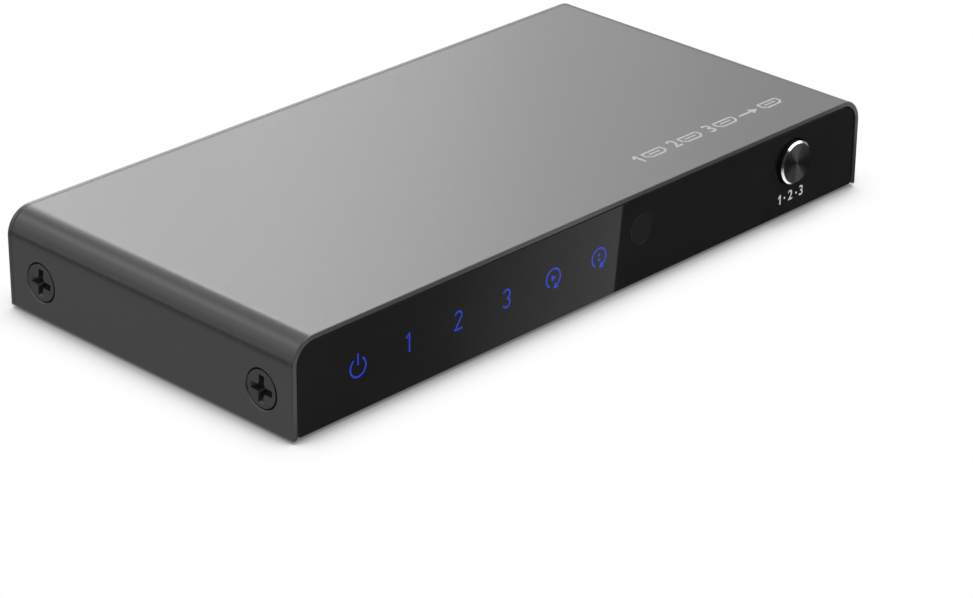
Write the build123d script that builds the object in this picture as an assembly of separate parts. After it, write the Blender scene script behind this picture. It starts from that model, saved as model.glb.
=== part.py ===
from build123d import *
import os

# A three-way video switch box on a table: three inputs and one output on the back, six lit
# icons, a remote window and a push button on the front. Millimetres, +Z up, the front faces -Y.
# The origin is the centre of the case's footprint, on the surface that the feet stand on.

# Sheet-metal case
CASE_W = 130.0          # over the cover's side walls
COVER_DEPTH = 63.45     # front edge to back edge of the cover
CASE_H = 16.0           # bottom edge of the cover to its top
SHEET = 0.8             # steel sheet of the cover and the tray
SEAM = 0.05             # cover's back edge to the rear wall
BEND_R = 4.4            # outside radius of the cover's two bends
COVER_EDGE = 0.4        # chamfer inside the cover's bottom edges
TRAY_BEND = 0.7         # outside radius of the tray's folds
TRAY_GAP = 0.1          # tray to the inside of the cover

# Feet
FOOT_H = 0.5
FOOT_R = 4.5
FOOT_INSET_X = 10.0     # foot centre from the end of the case
FOOT_INSET_Y = 9.0      # foot centre from the front or back of the case

# Fascia plate, stuck to the tray's front wall
FASCIA_T = 2.0
FASCIA_SET_BACK = 0.2   # fascia behind the cover's front edge
FASCIA_GAP = 0.2        # fascia to the inside of the cover
FASCIA_LIFT = 0.3       # fascia above the cover's bottom edge
FASCIA_FOOT_R = 0.5     # its two bottom corners
FASCIA_SKIN = 0.6       # plate left in front of a light guide's pocket
TAPE_T = 0.15
TAPE_MARGIN = 0.8       # tape inside the fascia's edge

# Cover screws: M3 x 5, 90 degree countersunk head
SCREW_INSET = 6.75      # from the cover's front and back edges
SCREW_Z = 6.2           # above the cover's bottom edge
CSK_R = 3.25            # countersink at the cover's surface
HEAD_SINK = 0.25        # head below the surface
CONE_GAP = 0.02         # head cone to countersink
SCREW_R = 1.5
SCREW_LEN = 5.0
THREAD_GAP = 0.02
RECESS_SPAN = 4.6       # cross recess
RECESS_W = 1.1
RECESS_DEEP = 1.1
TAB_W = 7.0             # tray tabs that carry the screws
TAB_TOP = 10.6          # above the cover's bottom edge
TAB_CORNER = 2.0
COLLAR_R = 2.7
COLLAR_LEN = 2.3

# Circuit board
BOARD_T = 1.6
BOARD_FRONT_GAP = 0.5   # board to the tray's front wall
BOARD_BACK_GAP = 0.8    # board to the tray's rear wall
BOARD_SIDE_GAP = 1.2    # board to the tips of the cover screws
STANDOFF_H = 3.0
STANDOFF_R = 2.5
SPIGOT_R = 1.95         # standoff's end in the tray floor
STANDOFF_INSET = 5.5    # from the board's ends
STANDOFF_FRONT_INSET = 10.5
STANDOFF_BACK_INSET = 18.5
BOARD_HOLE_R = 1.6
PAN_HEAD_R = 2.75
PAN_HEAD_H = 1.9
BOARD_SCREW_LEN = 5.0
LEAD_T = 0.15           # gull-wing leads
SLOT_GAP = 0.1          # round a leg in its hole in the board
SOLDER_TAIL = 0.7       # leg below the board
NOTCH_GAP = 1.0         # both sides together, round the button's flange

# Lit icons, from left to right
ICON_Z = 7.65           # above the cover's bottom edge
ICON_FIRST_X = 13.2     # first icon from the left end of the case
ICON_PITCH = 10.45
ICON_STROKE = 0.32
ICON_RING_R = 1.57      # centre line of the rings
RING_DROP = 0.1         # ring's centre below the icons' line
POWER_DROP = 0.28       # power ring's centre below the icons' line
DIGIT_H = 3.27
DIGIT_W = 1.75
BAR_RISE = 2.28         # top of the power icon's bar above the ring's centre
GUIDE_W = 4.4
GUIDE_RISE = 2.2        # top of a light guide above the icons' line
GUIDE_LIFT = 0.05       # light guide above the board
GUIDE_GAP = 0.05        # light guide in the fascia's pocket
WINDOW_GAP = 0.3        # light guide in the tape and the tray's front wall
GUIDE_LEN = 6.0         # fascia's pocket to the LED
LIGHT_BOX_WALL = 1.2
LIGHT_BOX_GAP = 0.03
PEG_R = 0.9
PEG_LEN = 1.5
LED_W = 3.0
LED_D = 1.4
LED_H = 1.2
LED_GAP = 0.1

# Remote receiver
IR_X = 75.45            # from the left end of the case
IR_Z = 9.27             # above the cover's bottom edge
IR_WINDOW_R = 2.57
IR_WINDOW_GAP = 0.03
IR_FLANGE_R = 3.2
IR_FLANGE_T = 0.6
IR_BODY_W = 5.0
IR_BODY_D = 3.2
IR_BODY_H = 6.8
IR_DOME_R = 2.1
IR_DOME_GAP = 0.4       # dome to the tray's front wall
IR_LEAD = 0.5
IR_LEAD_PITCH = 1.27

# Push button
BUTTON_INSET = 17.2     # from the right end of the case
BUTTON_R = 3.75
BUTTON_HOLE_GAP = 0.25
BUTTON_PROUD = 1.1      # in front of the fascia
BUTTON_CHAMFER = 0.3
BUTTON_SKIRT = 2.4      # cap's length
BUTTON_SKIN = 0.9       # cap's front thickness
BUTTON_SOCKET_R = 3.0
SOCKET_GAP = 0.02
STEM_GAP = 0.35         # stem to the hole in the fascia
FLANGE_LIP = 0.7        # flange beyond the hole in the tray's front wall
FLANGE_T = 0.8
FLANGE_GAP = 0.05       # flange to the tray's front wall at rest
BUTTON_TRAVEL = 0.4
PUSH_R = 1.5
PUSH_LEN = 0.75

# Tactile switch behind the button
TACT_W = 6.2
TACT_D = 3.5
PLUNGER_R = 1.75
PLUNGER_PROUD = 1.2
PLUNGER_SEAT = 0.9      # plunger inside the switch at rest
PLUNGER_GAP = 0.05
PLUNGER_ROOM = 0.3      # left behind the plunger when it is pressed home
BRACKET_T = 0.4
BRACKET_D = 1.6

# Video sockets, as the type A receptacle
PORT_PITCH = 23.0
PORT_TO_JACK = 21.0     # last socket to the power jack
PORT_NAMES = ("video_in_1", "video_in_2", "video_in_3", "video_out")
MOUTH_W = 14.0
MOUTH_H = 4.55
MOUTH_FOOT_W = 10.2     # narrow edge at the bottom
MOUTH_SIDE_H = 2.75     # upright part of its sides
MOUTH_CORNER = 0.4
SHELL_T = 0.4
SHELL_LEN = 12.0
PORT_PROUD = 0.4        # beyond the rear wall
PORT_SEAT = 0.25        # shell above the board
PORT_WALL_GAP = 0.25    # shell in its cut-out
PORT_LEG_W = 1.6
PORT_LEG_INSET = 2.0    # leg from the ends of the part inside the case
PORT_GAP = 0.03         # insulator in its shell
TONGUE_W = 11.4
TONGUE_T = 1.5
TONGUE_RISE = 0.35      # tongue's middle above the mouth's middle
TONGUE_SET_BACK = 1.4   # behind the mouth
PORT_BLOCK_LEN = 3.0    # insulator's solid back end
CONTACT_PITCH = 1.0
CONTACT_W = 0.45
CONTACT_T = 0.12
CONTACT_SET_BACK = 0.8  # behind the tongue's front
TOP_CONTACTS = 10
BOTTOM_CONTACTS = 9
TOP_TAIL = 1.5          # tail behind the shell
BOTTOM_TAIL = 0.6

# Power jack for a 3.5 x 1.35 plug
JACK_INSET = 16.0       # from the right end of the case
JACK_W = 7.6
JACK_H = 6.6
JACK_LEN = 10.5
JACK_NOSE_R = 2.9
JACK_PROUD = 0.4
JACK_BORE_R = 1.85
JACK_BORE_LEN = 8.5
JACK_PIN_R = 0.65
JACK_ROOT_R = 0.9       # thicker root of the pin, held in the housing
JACK_PIN_SET_BACK = 1.0
JACK_LEG_W = 1.4
JACK_LEG_T = 0.4
SPRING_W = 1.6
SPRING_T = 0.3

# Parts on the board
CHIP_X, CHIP_Y = -8.0, -6.0
CHIP_W = 14.0
CHIP_H = 1.4
CHIP_LEAD_COUNT = 16    # on each side
CHIP_PITCH = 0.8
PAD_T = 0.5
SINK_W = 14.0
SINK_H = 6.0
SINK_BASE = 1.8
SINK_FINS = 6
SINK_FIN_T = 1.0
MICRO_INSET = 29.0      # from the left end of the case
MICRO_Y = -5.0
MICRO_W, MICRO_D, MICRO_H = 12.8, 7.5, 2.3
MICRO_LEAD_COUNT = 10
MICRO_PITCH = 1.27
CRYSTAL_Y = 6.0         # in line with the microcontroller
CRYSTAL_W, CRYSTAL_D, CRYSTAL_H = 10.6, 4.2, 3.4
REG_INSET = 28.0        # from the right end of the case
REG_Y = 6.0
REG_W, REG_D, REG_H = 6.5, 3.5, 1.6
COIL_INSET = 18.0
COIL_Y = -2.0
COIL_W, COIL_H = 7.0, 4.0
CAN_R, CAN_H = 3.1, 5.4
CAN_BASE = 6.6
CAN_INSETS = (28.0, 36.0, 45.0)
CAN_YS = (-8.0, 4.0, -8.0)

# Places worked out from the sizes above
HALF_W = CASE_W / 2
CASE_D = COVER_DEPTH + SEAM + SHEET
FRONT_Y = -CASE_D / 2
BACK_Y = CASE_D / 2
COVER_BACK_Y = FRONT_Y + COVER_DEPTH
REAR_WALL_Y = BACK_Y - SHEET
BASE_Z = FOOT_H
FLOOR_Z = BASE_Z + SHEET
TOP_Z = BASE_Z + CASE_H
INNER_TOP_Z = TOP_Z - SHEET
INNER_HALF_W = HALF_W - SHEET
INNER_BEND_R = BEND_R - SHEET
TRAY_HALF_W = INNER_HALF_W - TRAY_GAP
FASCIA_Y = FRONT_Y + FASCIA_SET_BACK
FASCIA_BACK_Y = FASCIA_Y + FASCIA_T
WALL_Y = FASCIA_BACK_Y + TAPE_T
WALL_BACK_Y = WALL_Y + SHEET
POCKET_Y = FASCIA_Y + FASCIA_SKIN
SCREW_YS = (FRONT_Y + SCREW_INSET, COVER_BACK_Y - SCREW_INSET)
SCREW_AXIS_Z = BASE_Z + SCREW_Z
BOARD_Z = FLOOR_Z + STANDOFF_H
BOARD_TOP = BOARD_Z + BOARD_T
BOARD_HALF_W = HALF_W - HEAD_SINK - SCREW_LEN - BOARD_SIDE_GAP
BOARD_FRONT_Y = WALL_BACK_Y + BOARD_FRONT_GAP
BOARD_BACK_Y = REAR_WALL_Y - BOARD_BACK_GAP
STANDOFF_YS = (BOARD_FRONT_Y + STANDOFF_FRONT_INSET, BOARD_BACK_Y - STANDOFF_BACK_INSET)
STANDOFFS = [(side * (BOARD_HALF_W - STANDOFF_INSET), y) for side in (-1, 1) for y in STANDOFF_YS]
TAIL_Z = BOARD_Z - SOLDER_TAIL
ICON_AXIS_Z = BASE_Z + ICON_Z
GUIDE_Z = BOARD_TOP + GUIDE_LIFT
GUIDE_TOP = ICON_AXIS_Z + GUIDE_RISE
ICON_NAMES = ("power", "1", "2", "3", "auto", "remote")
ICON_XS = [-HALF_W + ICON_FIRST_X + i * ICON_PITCH for i in range(len(ICON_NAMES))]
GUIDE_BACK_Y = POCKET_Y + GUIDE_LEN
IR_AXIS = (IR_X - HALF_W, BASE_Z + IR_Z)
BUTTON_AXIS = (HALF_W - BUTTON_INSET, BASE_Z + IR_Z)
BUTTON_HOLE_R = BUTTON_R + BUTTON_HOLE_GAP
FLANGE_R = BUTTON_HOLE_R + WINDOW_GAP + FLANGE_LIP
BUTTON_Y = FASCIA_Y - BUTTON_PROUD
FLANGE_Y = WALL_BACK_Y + FLANGE_GAP
PUSH_END_Y = FLANGE_Y + FLANGE_T + PUSH_LEN
TACT_Y = PUSH_END_Y + PLUNGER_PROUD
SHELL_H = MOUTH_H + 2 * SHELL_T
PORT_Z = BOARD_TOP + PORT_SEAT + SHELL_H / 2
PORT_MOUTH_Y = BACK_Y + PORT_PROUD
SHELL_BACK_Y = PORT_MOUTH_Y - SHELL_LEN
TONGUE_Z = PORT_Z + TONGUE_RISE
TONGUE_Y = PORT_MOUTH_Y - TONGUE_SET_BACK
JACK_X = HALF_W - JACK_INSET
PORT_X = [JACK_X - PORT_TO_JACK - i * PORT_PITCH for i in range(len(PORT_NAMES))][::-1]
MICRO_X = -HALF_W + MICRO_INSET
REG_X = HALF_W - REG_INSET
COIL_X = HALF_W - COIL_INSET
CANS = [(HALF_W - inset, y) for inset, y in zip(CAN_INSETS, CAN_YS)]
JACK_Z = BOARD_TOP + JACK_H / 2
JACK_MOUTH_Y = BACK_Y + JACK_PROUD
JACK_FACE_Y = REAR_WALL_Y - PORT_WALL_GAP
JACK_BACK_Y = JACK_FACE_Y - JACK_LEN
JACK_BORE_END_Y = JACK_MOUTH_Y - JACK_BORE_LEN
PAD_Z = BOARD_TOP + LEAD_T + CHIP_H
BEYOND = 1.0            # how far a cutting tool runs past what it cuts


def block(x0, x1, y0, y1, z0, z1):
    """A box between two corners."""
    size = Box(x1 - x0, y1 - y0, z1 - z0)
    return Pos((x0 + x1) / 2, (y0 + y1) / 2, (z0 + z1) / 2) * size


def pillar(x, y, width, depth, z0, z1):
    """A box standing on z0, centred on x and y."""
    return block(x - width / 2, x + width / 2, y - depth / 2, y + depth / 2, z0, z1)


def along_x(x0, x1, y, z, radius):
    return Pos((x0 + x1) / 2, y, z) * Rot(0, 90, 0) * Cylinder(radius, x1 - x0)


def along_y(x, z, radius, y0, y1):
    return Pos(x, (y0 + y1) / 2, z) * Rot(90, 0, 0) * Cylinder(radius, y1 - y0)


def along_z(x, y, radius, z0, z1):
    return Pos(x, y, (z0 + z1) / 2) * Cylinder(radius, z1 - z0)


def prism(face, y0, y1):
    """A face drawn in X and Z, drawn out from y0 to y1."""
    return Pos(0, y0, 0) * extrude(Plane.XZ * face, y1 - y0, dir=(0, 1, 0))


def arch(half_width, y0, y1, z0, z1, top_r, foot_r=0.0):
    """A plate across the case with round top corners."""
    plate = block(-half_width, half_width, y0, y1, z0, z1)
    plate = fillet(plate.edges().filter_by(Axis.Y).group_by(Axis.Z)[-1], top_r)
    if foot_r:
        plate = fillet(plate.edges().filter_by(Axis.Y).group_by(Axis.Z)[0], foot_r)
    return plate


def countersink(side, y):
    """The cone that a cover screw's head sits in, cut through the cover and the tab."""
    depth = CSK_R - SCREW_R
    cone = Cone(SCREW_R, CSK_R + BEYOND, depth + BEYOND)
    middle = HALF_W - depth + (depth + BEYOND) / 2
    return Pos(side * middle, y, SCREW_AXIS_Z) * Rot(0, 90 * side, 0) * cone


def top_cover():
    """The folded top and sides."""
    cover = arch(HALF_W, FRONT_Y, COVER_BACK_Y, BASE_Z, TOP_Z, BEND_R)
    cover -= arch(INNER_HALF_W, FRONT_Y - BEYOND, COVER_BACK_Y + BEYOND,
                  BASE_Z - BEYOND, INNER_TOP_Z, INNER_BEND_R)
    feet = cover.edges().filter_by(Axis.Y).group_by(Axis.Z)[0]
    inner = [e for e in feet if abs(e.center().X) < HALF_W - SHEET / 2]
    cover = chamfer(inner, COVER_EDGE)
    for side in (-1, 1):
        for y in SCREW_YS:
            cover -= countersink(side, y)
    return cover


def screw_tab(side, y):
    """A tray tab with the threaded collar of one cover screw."""
    outer = side * TRAY_HALF_W
    inner = side * (TRAY_HALF_W - SHEET)
    low, high = min(outer, inner), max(outer, inner)
    tab = block(low, high, y - TAB_W / 2, y + TAB_W / 2, BASE_Z, BASE_Z + TAB_TOP)
    tab = fillet(tab.edges().filter_by(Axis.X).group_by(Axis.Z)[-1], TAB_CORNER)
    end = inner - side * COLLAR_LEN
    tab += along_x(min(inner, end), max(inner, end), y, SCREW_AXIS_Z, COLLAR_R)
    far = end - side * BEYOND
    hole = along_x(min(outer, far), max(outer, far), y, SCREW_AXIS_Z, SCREW_R + THREAD_GAP)
    return tab - hole - countersink(side, y)


def rear_cut_outs():
    """The openings of the four sockets and the jack."""
    half_w = MOUTH_W / 2 + SHELL_T + PORT_WALL_GAP
    half_h = SHELL_H / 2 + PORT_WALL_GAP
    y0, y1 = REAR_WALL_Y - BEYOND, BACK_Y + BEYOND
    cuts = [block(x - half_w, x + half_w, y0, y1, PORT_Z - half_h, PORT_Z + half_h)
            for x in PORT_X]
    cuts.append(along_y(JACK_X, JACK_Z, JACK_NOSE_R + PORT_WALL_GAP, y0, y1))
    return cuts


def front_cut_outs(y0, y1, gap):
    """The openings for the light guides, the receiver and the button."""
    half_w = GUIDE_W / 2 + gap
    cuts = [block(x - half_w, x + half_w, y0, y1, GUIDE_Z - gap, GUIDE_TOP + gap)
            for x in ICON_XS]
    cuts.append(along_y(*IR_AXIS, IR_FLANGE_R, y0, y1))
    cuts.append(along_y(*BUTTON_AXIS, BUTTON_HOLE_R + gap, y0, y1))
    return cuts


def fold(plate, row):
    """Round the bottom edge of a plate at its front (row 0) or its back (row -1)."""
    bottom = plate.edges().filter_by(Axis.X).group_by(Axis.Z)[0]
    return fillet(bottom.group_by(Axis.Y)[row], TRAY_BEND)


def bottom_tray():
    """Floor, front wall, rear wall and four screw tabs, folded from one sheet."""
    front = arch(TRAY_HALF_W, WALL_Y, WALL_BACK_Y, BASE_Z, INNER_TOP_Z - TRAY_GAP,
                 INNER_BEND_R - TRAY_GAP)
    rear = arch(HALF_W, REAR_WALL_Y, BACK_Y, BASE_Z, TOP_Z, BEND_R)
    floor = block(-TRAY_HALF_W, TRAY_HALF_W, WALL_Y, REAR_WALL_Y, BASE_Z, FLOOR_Z)
    front = fold(front, 0)
    rear = fold(rear, -1)
    floor = fold(floor, 0)
    tray = floor + front + rear
    tray += [screw_tab(side, y) for side in (-1, 1) for y in SCREW_YS]
    tray -= front_cut_outs(WALL_Y - BEYOND, WALL_BACK_Y + BEYOND, WINDOW_GAP)
    tray -= rear_cut_outs()
    tray -= [along_z(x, y, SPIGOT_R, BASE_Z - BEYOND, FLOOR_Z + BEYOND) for x, y in STANDOFFS]
    return tray


def cross_recess(depth):
    """The cross in a screw's head, cut down from z = 0."""
    wing = block(-RECESS_SPAN / 2, RECESS_SPAN / 2, -RECESS_W / 2, RECESS_W / 2, -depth, BEYOND)
    return wing + Rot(0, 0, 90) * wing


def cover_screws():
    """Four countersunk screws, modelled head up and laid into the cover's sides."""
    head_r = CSK_R - HEAD_SINK - CONE_GAP
    cone_len = head_r - SCREW_R
    screw = Pos(0, 0, -cone_len / 2) * Cone(SCREW_R, head_r, cone_len)
    screw += along_z(0, 0, SCREW_R, -SCREW_LEN, -cone_len)
    screw -= cross_recess(RECESS_DEEP)
    return [Pos(side * (HALF_W - HEAD_SINK), y, SCREW_AXIS_Z) * Rot(0, 90 * side, 0) * screw
            for side in (-1, 1) for y in SCREW_YS]


def foot(x, y):
    pad = along_z(x, y, FOOT_R, 0, BASE_Z)
    return chamfer(pad.edges().group_by(Axis.Z)[0], FOOT_H / 3)


def stroke(path):
    """A line of the icons' stroke width along an edge or a wire."""
    return trace(path, ICON_STROKE)


def open_ring(gap_at, gap):
    """A ring with a gap, whose middle is at the angle gap_at in degrees."""
    return stroke(CenterArc((0, 0), ICON_RING_R, gap_at + gap / 2, 360 - gap))


def arrow_ring():
    """A ring open at the bottom with an arrowhead at the end on the right."""
    tip_at = -58
    head = Polygon((0, 0.62), (0, -0.62), (0.95, 0), align=None)
    place = Rot(0, 0, tip_at) * Pos(ICON_RING_R, 0, 0) * Rot(0, 0, -90)
    return Pos(0, -RING_DROP, 0) * (open_ring(-90, 64) + place * head)


def digit_1():
    half = DIGIT_H / 2
    flag = Line((0.12, half - ICON_STROKE / 2), (-0.6, half - 0.75))
    stem = Line((0.12, -half), (0.12, half))
    return stroke(stem) + stroke(flag)


def digit_2():
    half = DIGIT_H / 2
    bowl_r = DIGIT_W / 2 - ICON_STROKE / 2
    bowl_y = half - ICON_STROKE / 2 - bowl_r
    bowl = CenterArc((0, bowl_y), bowl_r, -30, 195)
    foot_y = -half + ICON_STROKE / 2
    slope = Line(bowl @ 0, (-bowl_r, foot_y))
    base = Line((-DIGIT_W / 2, foot_y), (DIGIT_W / 2, foot_y))
    return stroke(bowl) + stroke(slope) + stroke(base)


def digit_3():
    half = DIGIT_H / 2
    bowl_r = half / 2 - ICON_STROKE / 4
    upper = CenterArc((0, half - ICON_STROKE / 2 - bowl_r), bowl_r, -90, 250)
    lower = CenterArc((0, -half + ICON_STROKE / 2 + bowl_r), bowl_r, -160, 250)
    return stroke(upper) + stroke(lower)


def power_icon():
    bar = Line((0, 0.3), (0, BAR_RISE))
    return Pos(0, -POWER_DROP, 0) * (open_ring(90, 66) + stroke(bar))


def auto_icon():
    """The arrow ring round a play mark."""
    mark = Polygon((-0.42, 0.6), (-0.42, -0.6), (0.62, 0), align=None)
    return arrow_ring() + Pos(0, -RING_DROP, 0) * mark


def remote_icon():
    """The arrow ring round two dots."""
    dots = Pos(0, 0.42, 0) * Circle(0.27) + Pos(0, -0.42, 0) * Circle(0.27)
    return arrow_ring() + Pos(0, -RING_DROP, 0) * dots


ICONS = (power_icon, digit_1, digit_2, digit_3, auto_icon, remote_icon)


def icon_solid(i, y0, y1):
    return prism(Pos(ICON_XS[i], ICON_AXIS_Z, 0) * ICONS[i](), y0, y1)


def front_fascia():
    """The glossy front plate, with icon-shaped cuts in front of the light guides' pockets."""
    plate = arch(INNER_HALF_W - FASCIA_GAP, FASCIA_Y, FASCIA_BACK_Y, BASE_Z + FASCIA_LIFT,
                 INNER_TOP_Z - FASCIA_GAP, INNER_BEND_R - FASCIA_GAP, FASCIA_FOOT_R)
    half_w = GUIDE_W / 2 + GUIDE_GAP
    for i, x in enumerate(ICON_XS):
        plate -= block(x - half_w, x + half_w, POCKET_Y, FASCIA_BACK_Y + BEYOND,
                       GUIDE_Z - GUIDE_GAP, GUIDE_TOP + GUIDE_GAP)
        plate -= icon_solid(i, FASCIA_Y - BEYOND, POCKET_Y + BEYOND / 2)
    plate -= along_y(*IR_AXIS, IR_WINDOW_R + IR_WINDOW_GAP, FASCIA_Y - BEYOND, FASCIA_BACK_Y)
    plate -= along_y(*IR_AXIS, IR_FLANGE_R + IR_WINDOW_GAP,
                     FASCIA_BACK_Y - IR_FLANGE_T, FASCIA_BACK_Y + BEYOND)
    return plate - along_y(*BUTTON_AXIS, BUTTON_HOLE_R, FASCIA_Y - BEYOND, FASCIA_BACK_Y + BEYOND)


def fascia_tape():
    """Adhesive sheet between the fascia and the tray's front wall."""
    inset = FASCIA_GAP + TAPE_MARGIN
    tape = arch(INNER_HALF_W - inset, FASCIA_BACK_Y, WALL_Y,
                BASE_Z + FASCIA_LIFT + TAPE_MARGIN, INNER_TOP_Z - inset, INNER_BEND_R - inset)
    return tape - front_cut_outs(FASCIA_BACK_Y - BEYOND, WALL_Y + BEYOND, WINDOW_GAP)


def light_guide(i):
    """A clear block from the LED to the fascia, with the raised icon on its front."""
    x = ICON_XS[i]
    guide = block(x - GUIDE_W / 2, x + GUIDE_W / 2, POCKET_Y, GUIDE_BACK_Y, GUIDE_Z, GUIDE_TOP)
    return guide + icon_solid(i, FASCIA_Y, POCKET_Y + BEYOND / 2)


def light_box():
    """The black comb that holds the light guides apart, pegged to the board."""
    reach = GUIDE_W / 2 + LIGHT_BOX_WALL
    y0, y1 = WALL_BACK_Y + LIGHT_BOX_GAP, GUIDE_BACK_Y - LIGHT_BOX_GAP
    comb = block(ICON_XS[0] - reach, ICON_XS[-1] + reach, y0, y1, BOARD_TOP,
                 GUIDE_TOP + LIGHT_BOX_WALL)
    half = GUIDE_W / 2 + LIGHT_BOX_GAP
    comb -= [block(x - half, x + half, y0 - BEYOND, y1 + BEYOND, BOARD_TOP - BEYOND,
                   GUIDE_TOP + LIGHT_BOX_GAP) for x in ICON_XS]
    comb += [along_z(x, (y0 + y1) / 2, PEG_R, BOARD_TOP - PEG_LEN, BOARD_TOP)
             for x in peg_xs()]
    return comb


def peg_xs():
    """The light box's pegs stand under its two end partitions."""
    return [(ICON_XS[0] + ICON_XS[1]) / 2, (ICON_XS[-2] + ICON_XS[-1]) / 2]


def led(i):
    """A side-facing LED on the board, behind its light guide."""
    y0 = GUIDE_BACK_Y + LED_GAP
    body = pillar(ICON_XS[i], y0 + LED_D * 0.65, LED_W, LED_D * 0.7, BOARD_TOP, BOARD_TOP + LED_H)
    lens = pillar(ICON_XS[i], y0 + LED_D * 0.15, LED_W * 0.7, LED_D * 0.3,
                  BOARD_TOP + LED_H * 0.15, BOARD_TOP + LED_H * 0.85)
    return body + lens


def ir_window():
    """The dark lens in front of the receiver, pushed in from behind."""
    lens = along_y(*IR_AXIS, IR_WINDOW_R, FASCIA_Y, FASCIA_BACK_Y)
    return lens + along_y(*IR_AXIS, IR_FLANGE_R, FASCIA_BACK_Y - IR_FLANGE_T, FASCIA_BACK_Y)


def ir_places():
    """The receiver's front face and its three lead places."""
    x, _ = IR_AXIS
    front = WALL_BACK_Y + IR_DOME_GAP + IR_DOME_R / 2
    return front, [(x + i * IR_LEAD_PITCH, front + IR_BODY_D / 2) for i in (-1, 0, 1)]


def ir_receiver():
    """The remote receiver, standing on its three leads."""
    x, z = IR_AXIS
    front, leads = ir_places()
    low, high = z - IR_BODY_H / 2, z + IR_BODY_H / 2
    body = block(x - IR_BODY_W / 2, x + IR_BODY_W / 2, front, front + IR_BODY_D, low, high)
    body = chamfer(body.edges().filter_by(Axis.Z), IR_LEAD)
    body += Pos(x, front + IR_DOME_R / 2, z) * Sphere(IR_DOME_R)
    return body + [pillar(lx, ly, IR_LEAD, IR_LEAD, TAIL_Z, low) for lx, ly in leads]


def select_button_cap():
    """Black turned cap with a bright chamfer, hollow behind."""
    cap = along_y(*BUTTON_AXIS, BUTTON_R, BUTTON_Y, BUTTON_Y + BUTTON_SKIRT)
    cap = chamfer(cap.edges().group_by(Axis.Y)[0], BUTTON_CHAMFER)
    return cap - along_y(*BUTTON_AXIS, BUTTON_SOCKET_R, BUTTON_Y + BUTTON_SKIN,
                         BUTTON_Y + BUTTON_SKIRT + BEYOND)


def select_button_stem():
    """The button's plastic body: plug, guide, flange behind the wall, and push pad."""
    cap_end = BUTTON_Y + BUTTON_SKIRT
    stem = along_y(*BUTTON_AXIS, BUTTON_SOCKET_R - SOCKET_GAP, BUTTON_Y + BUTTON_SKIN, cap_end)
    stem += along_y(*BUTTON_AXIS, BUTTON_HOLE_R - STEM_GAP, cap_end, FLANGE_Y)
    stem += along_y(*BUTTON_AXIS, FLANGE_R, FLANGE_Y, FLANGE_Y + FLANGE_T)
    return stem + along_y(*BUTTON_AXIS, PUSH_R, FLANGE_Y + FLANGE_T, PUSH_END_Y)


def tact_legs():
    """Middle of each bracket leg of the tactile switch."""
    x, _ = BUTTON_AXIS
    reach = TACT_W / 2 + BRACKET_T / 2
    return [(x - reach, TACT_Y + TACT_D / 2), (x + reach, TACT_Y + TACT_D / 2)]


def tact_switch_base():
    """The switch's housing, with a bracket down each side into the board."""
    x, z = BUTTON_AXIS
    half = TACT_W / 2
    base = block(x - half, x + half, TACT_Y, TACT_Y + TACT_D, z - half, z + half)
    hole_end = TACT_Y + PLUNGER_SEAT + BUTTON_TRAVEL + PLUNGER_ROOM
    base -= along_y(x, z, PLUNGER_R + PLUNGER_GAP, TACT_Y - BEYOND, hole_end)
    for lx, ly in tact_legs():
        base += pillar(lx, ly, BRACKET_T, TACT_D, BOARD_TOP, z + half / 2)
        base += pillar(lx, ly, BRACKET_T, BRACKET_D, TAIL_Z, BOARD_TOP)
    return base


def tact_switch_plunger():
    return along_y(*BUTTON_AXIS, PLUNGER_R, PUSH_END_Y, TACT_Y + PLUNGER_SEAT)


def mouth_outline():
    """The mouth of a video socket: square at the top, narrow at the bottom."""
    top, half_w = MOUTH_H / 2, MOUTH_W / 2
    knee, foot_half = top - MOUTH_SIDE_H, MOUTH_FOOT_W / 2
    points = ((-half_w, top), (half_w, top), (half_w, knee), (foot_half, -top),
              (-foot_half, -top), (-half_w, knee))
    face = Polygon(*points, align=None)
    return fillet(face.vertices(), MOUTH_CORNER)


def port_face(x, grow):
    """The mouth's outline at a socket's place, larger by grow all round."""
    face = mouth_outline()
    if grow:
        face = offset(face, grow)
    return Pos(x, PORT_Z, 0) * face


def port_legs(x):
    """Middle of each leg of a socket's shell."""
    side = MOUTH_W / 2 + SHELL_T / 2
    front = BOARD_BACK_Y - PORT_LEG_INSET
    back = SHELL_BACK_Y + PORT_LEG_INSET
    return [(x + s * side, y) for s in (-1, 1) for y in (front, back)]


def port_shell(x):
    """A socket's plated shell with its four legs."""
    shell = prism(port_face(x, SHELL_T), SHELL_BACK_Y, PORT_MOUTH_Y)
    shell -= prism(port_face(x, 0), SHELL_BACK_Y - BEYOND, PORT_MOUTH_Y + BEYOND)
    shell += [pillar(lx, ly, SHELL_T, PORT_LEG_W, TAIL_Z, PORT_Z) for lx, ly in port_legs(x)]
    return shell


def contact_rows():
    """For each row: count, the strip's z range, the tail's y behind the shell."""
    half = TONGUE_T / 2
    upper = (TOP_CONTACTS, TONGUE_Z + half, TONGUE_Z + half + CONTACT_T, TOP_TAIL)
    lower = (BOTTOM_CONTACTS, TONGUE_Z - half - CONTACT_T, TONGUE_Z - half, BOTTOM_TAIL)
    return upper, lower


def port_contacts(x):
    """Nineteen gilt strips on the tongue, each with a tail down to the board."""
    strips = []
    for count, z0, z1, tail in contact_rows():
        tail_y = SHELL_BACK_Y - tail
        for i in range(count):
            cx = x + (i - (count - 1) / 2) * CONTACT_PITCH
            x0, x1 = cx - CONTACT_W / 2, cx + CONTACT_W / 2
            strip = block(x0, x1, tail_y, TONGUE_Y - CONTACT_SET_BACK, z0, z1)
            strip += block(x0, x1, tail_y, tail_y + CONTACT_T, BOARD_TOP, z1)
            strips.append(strip)
    return strips


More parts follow.
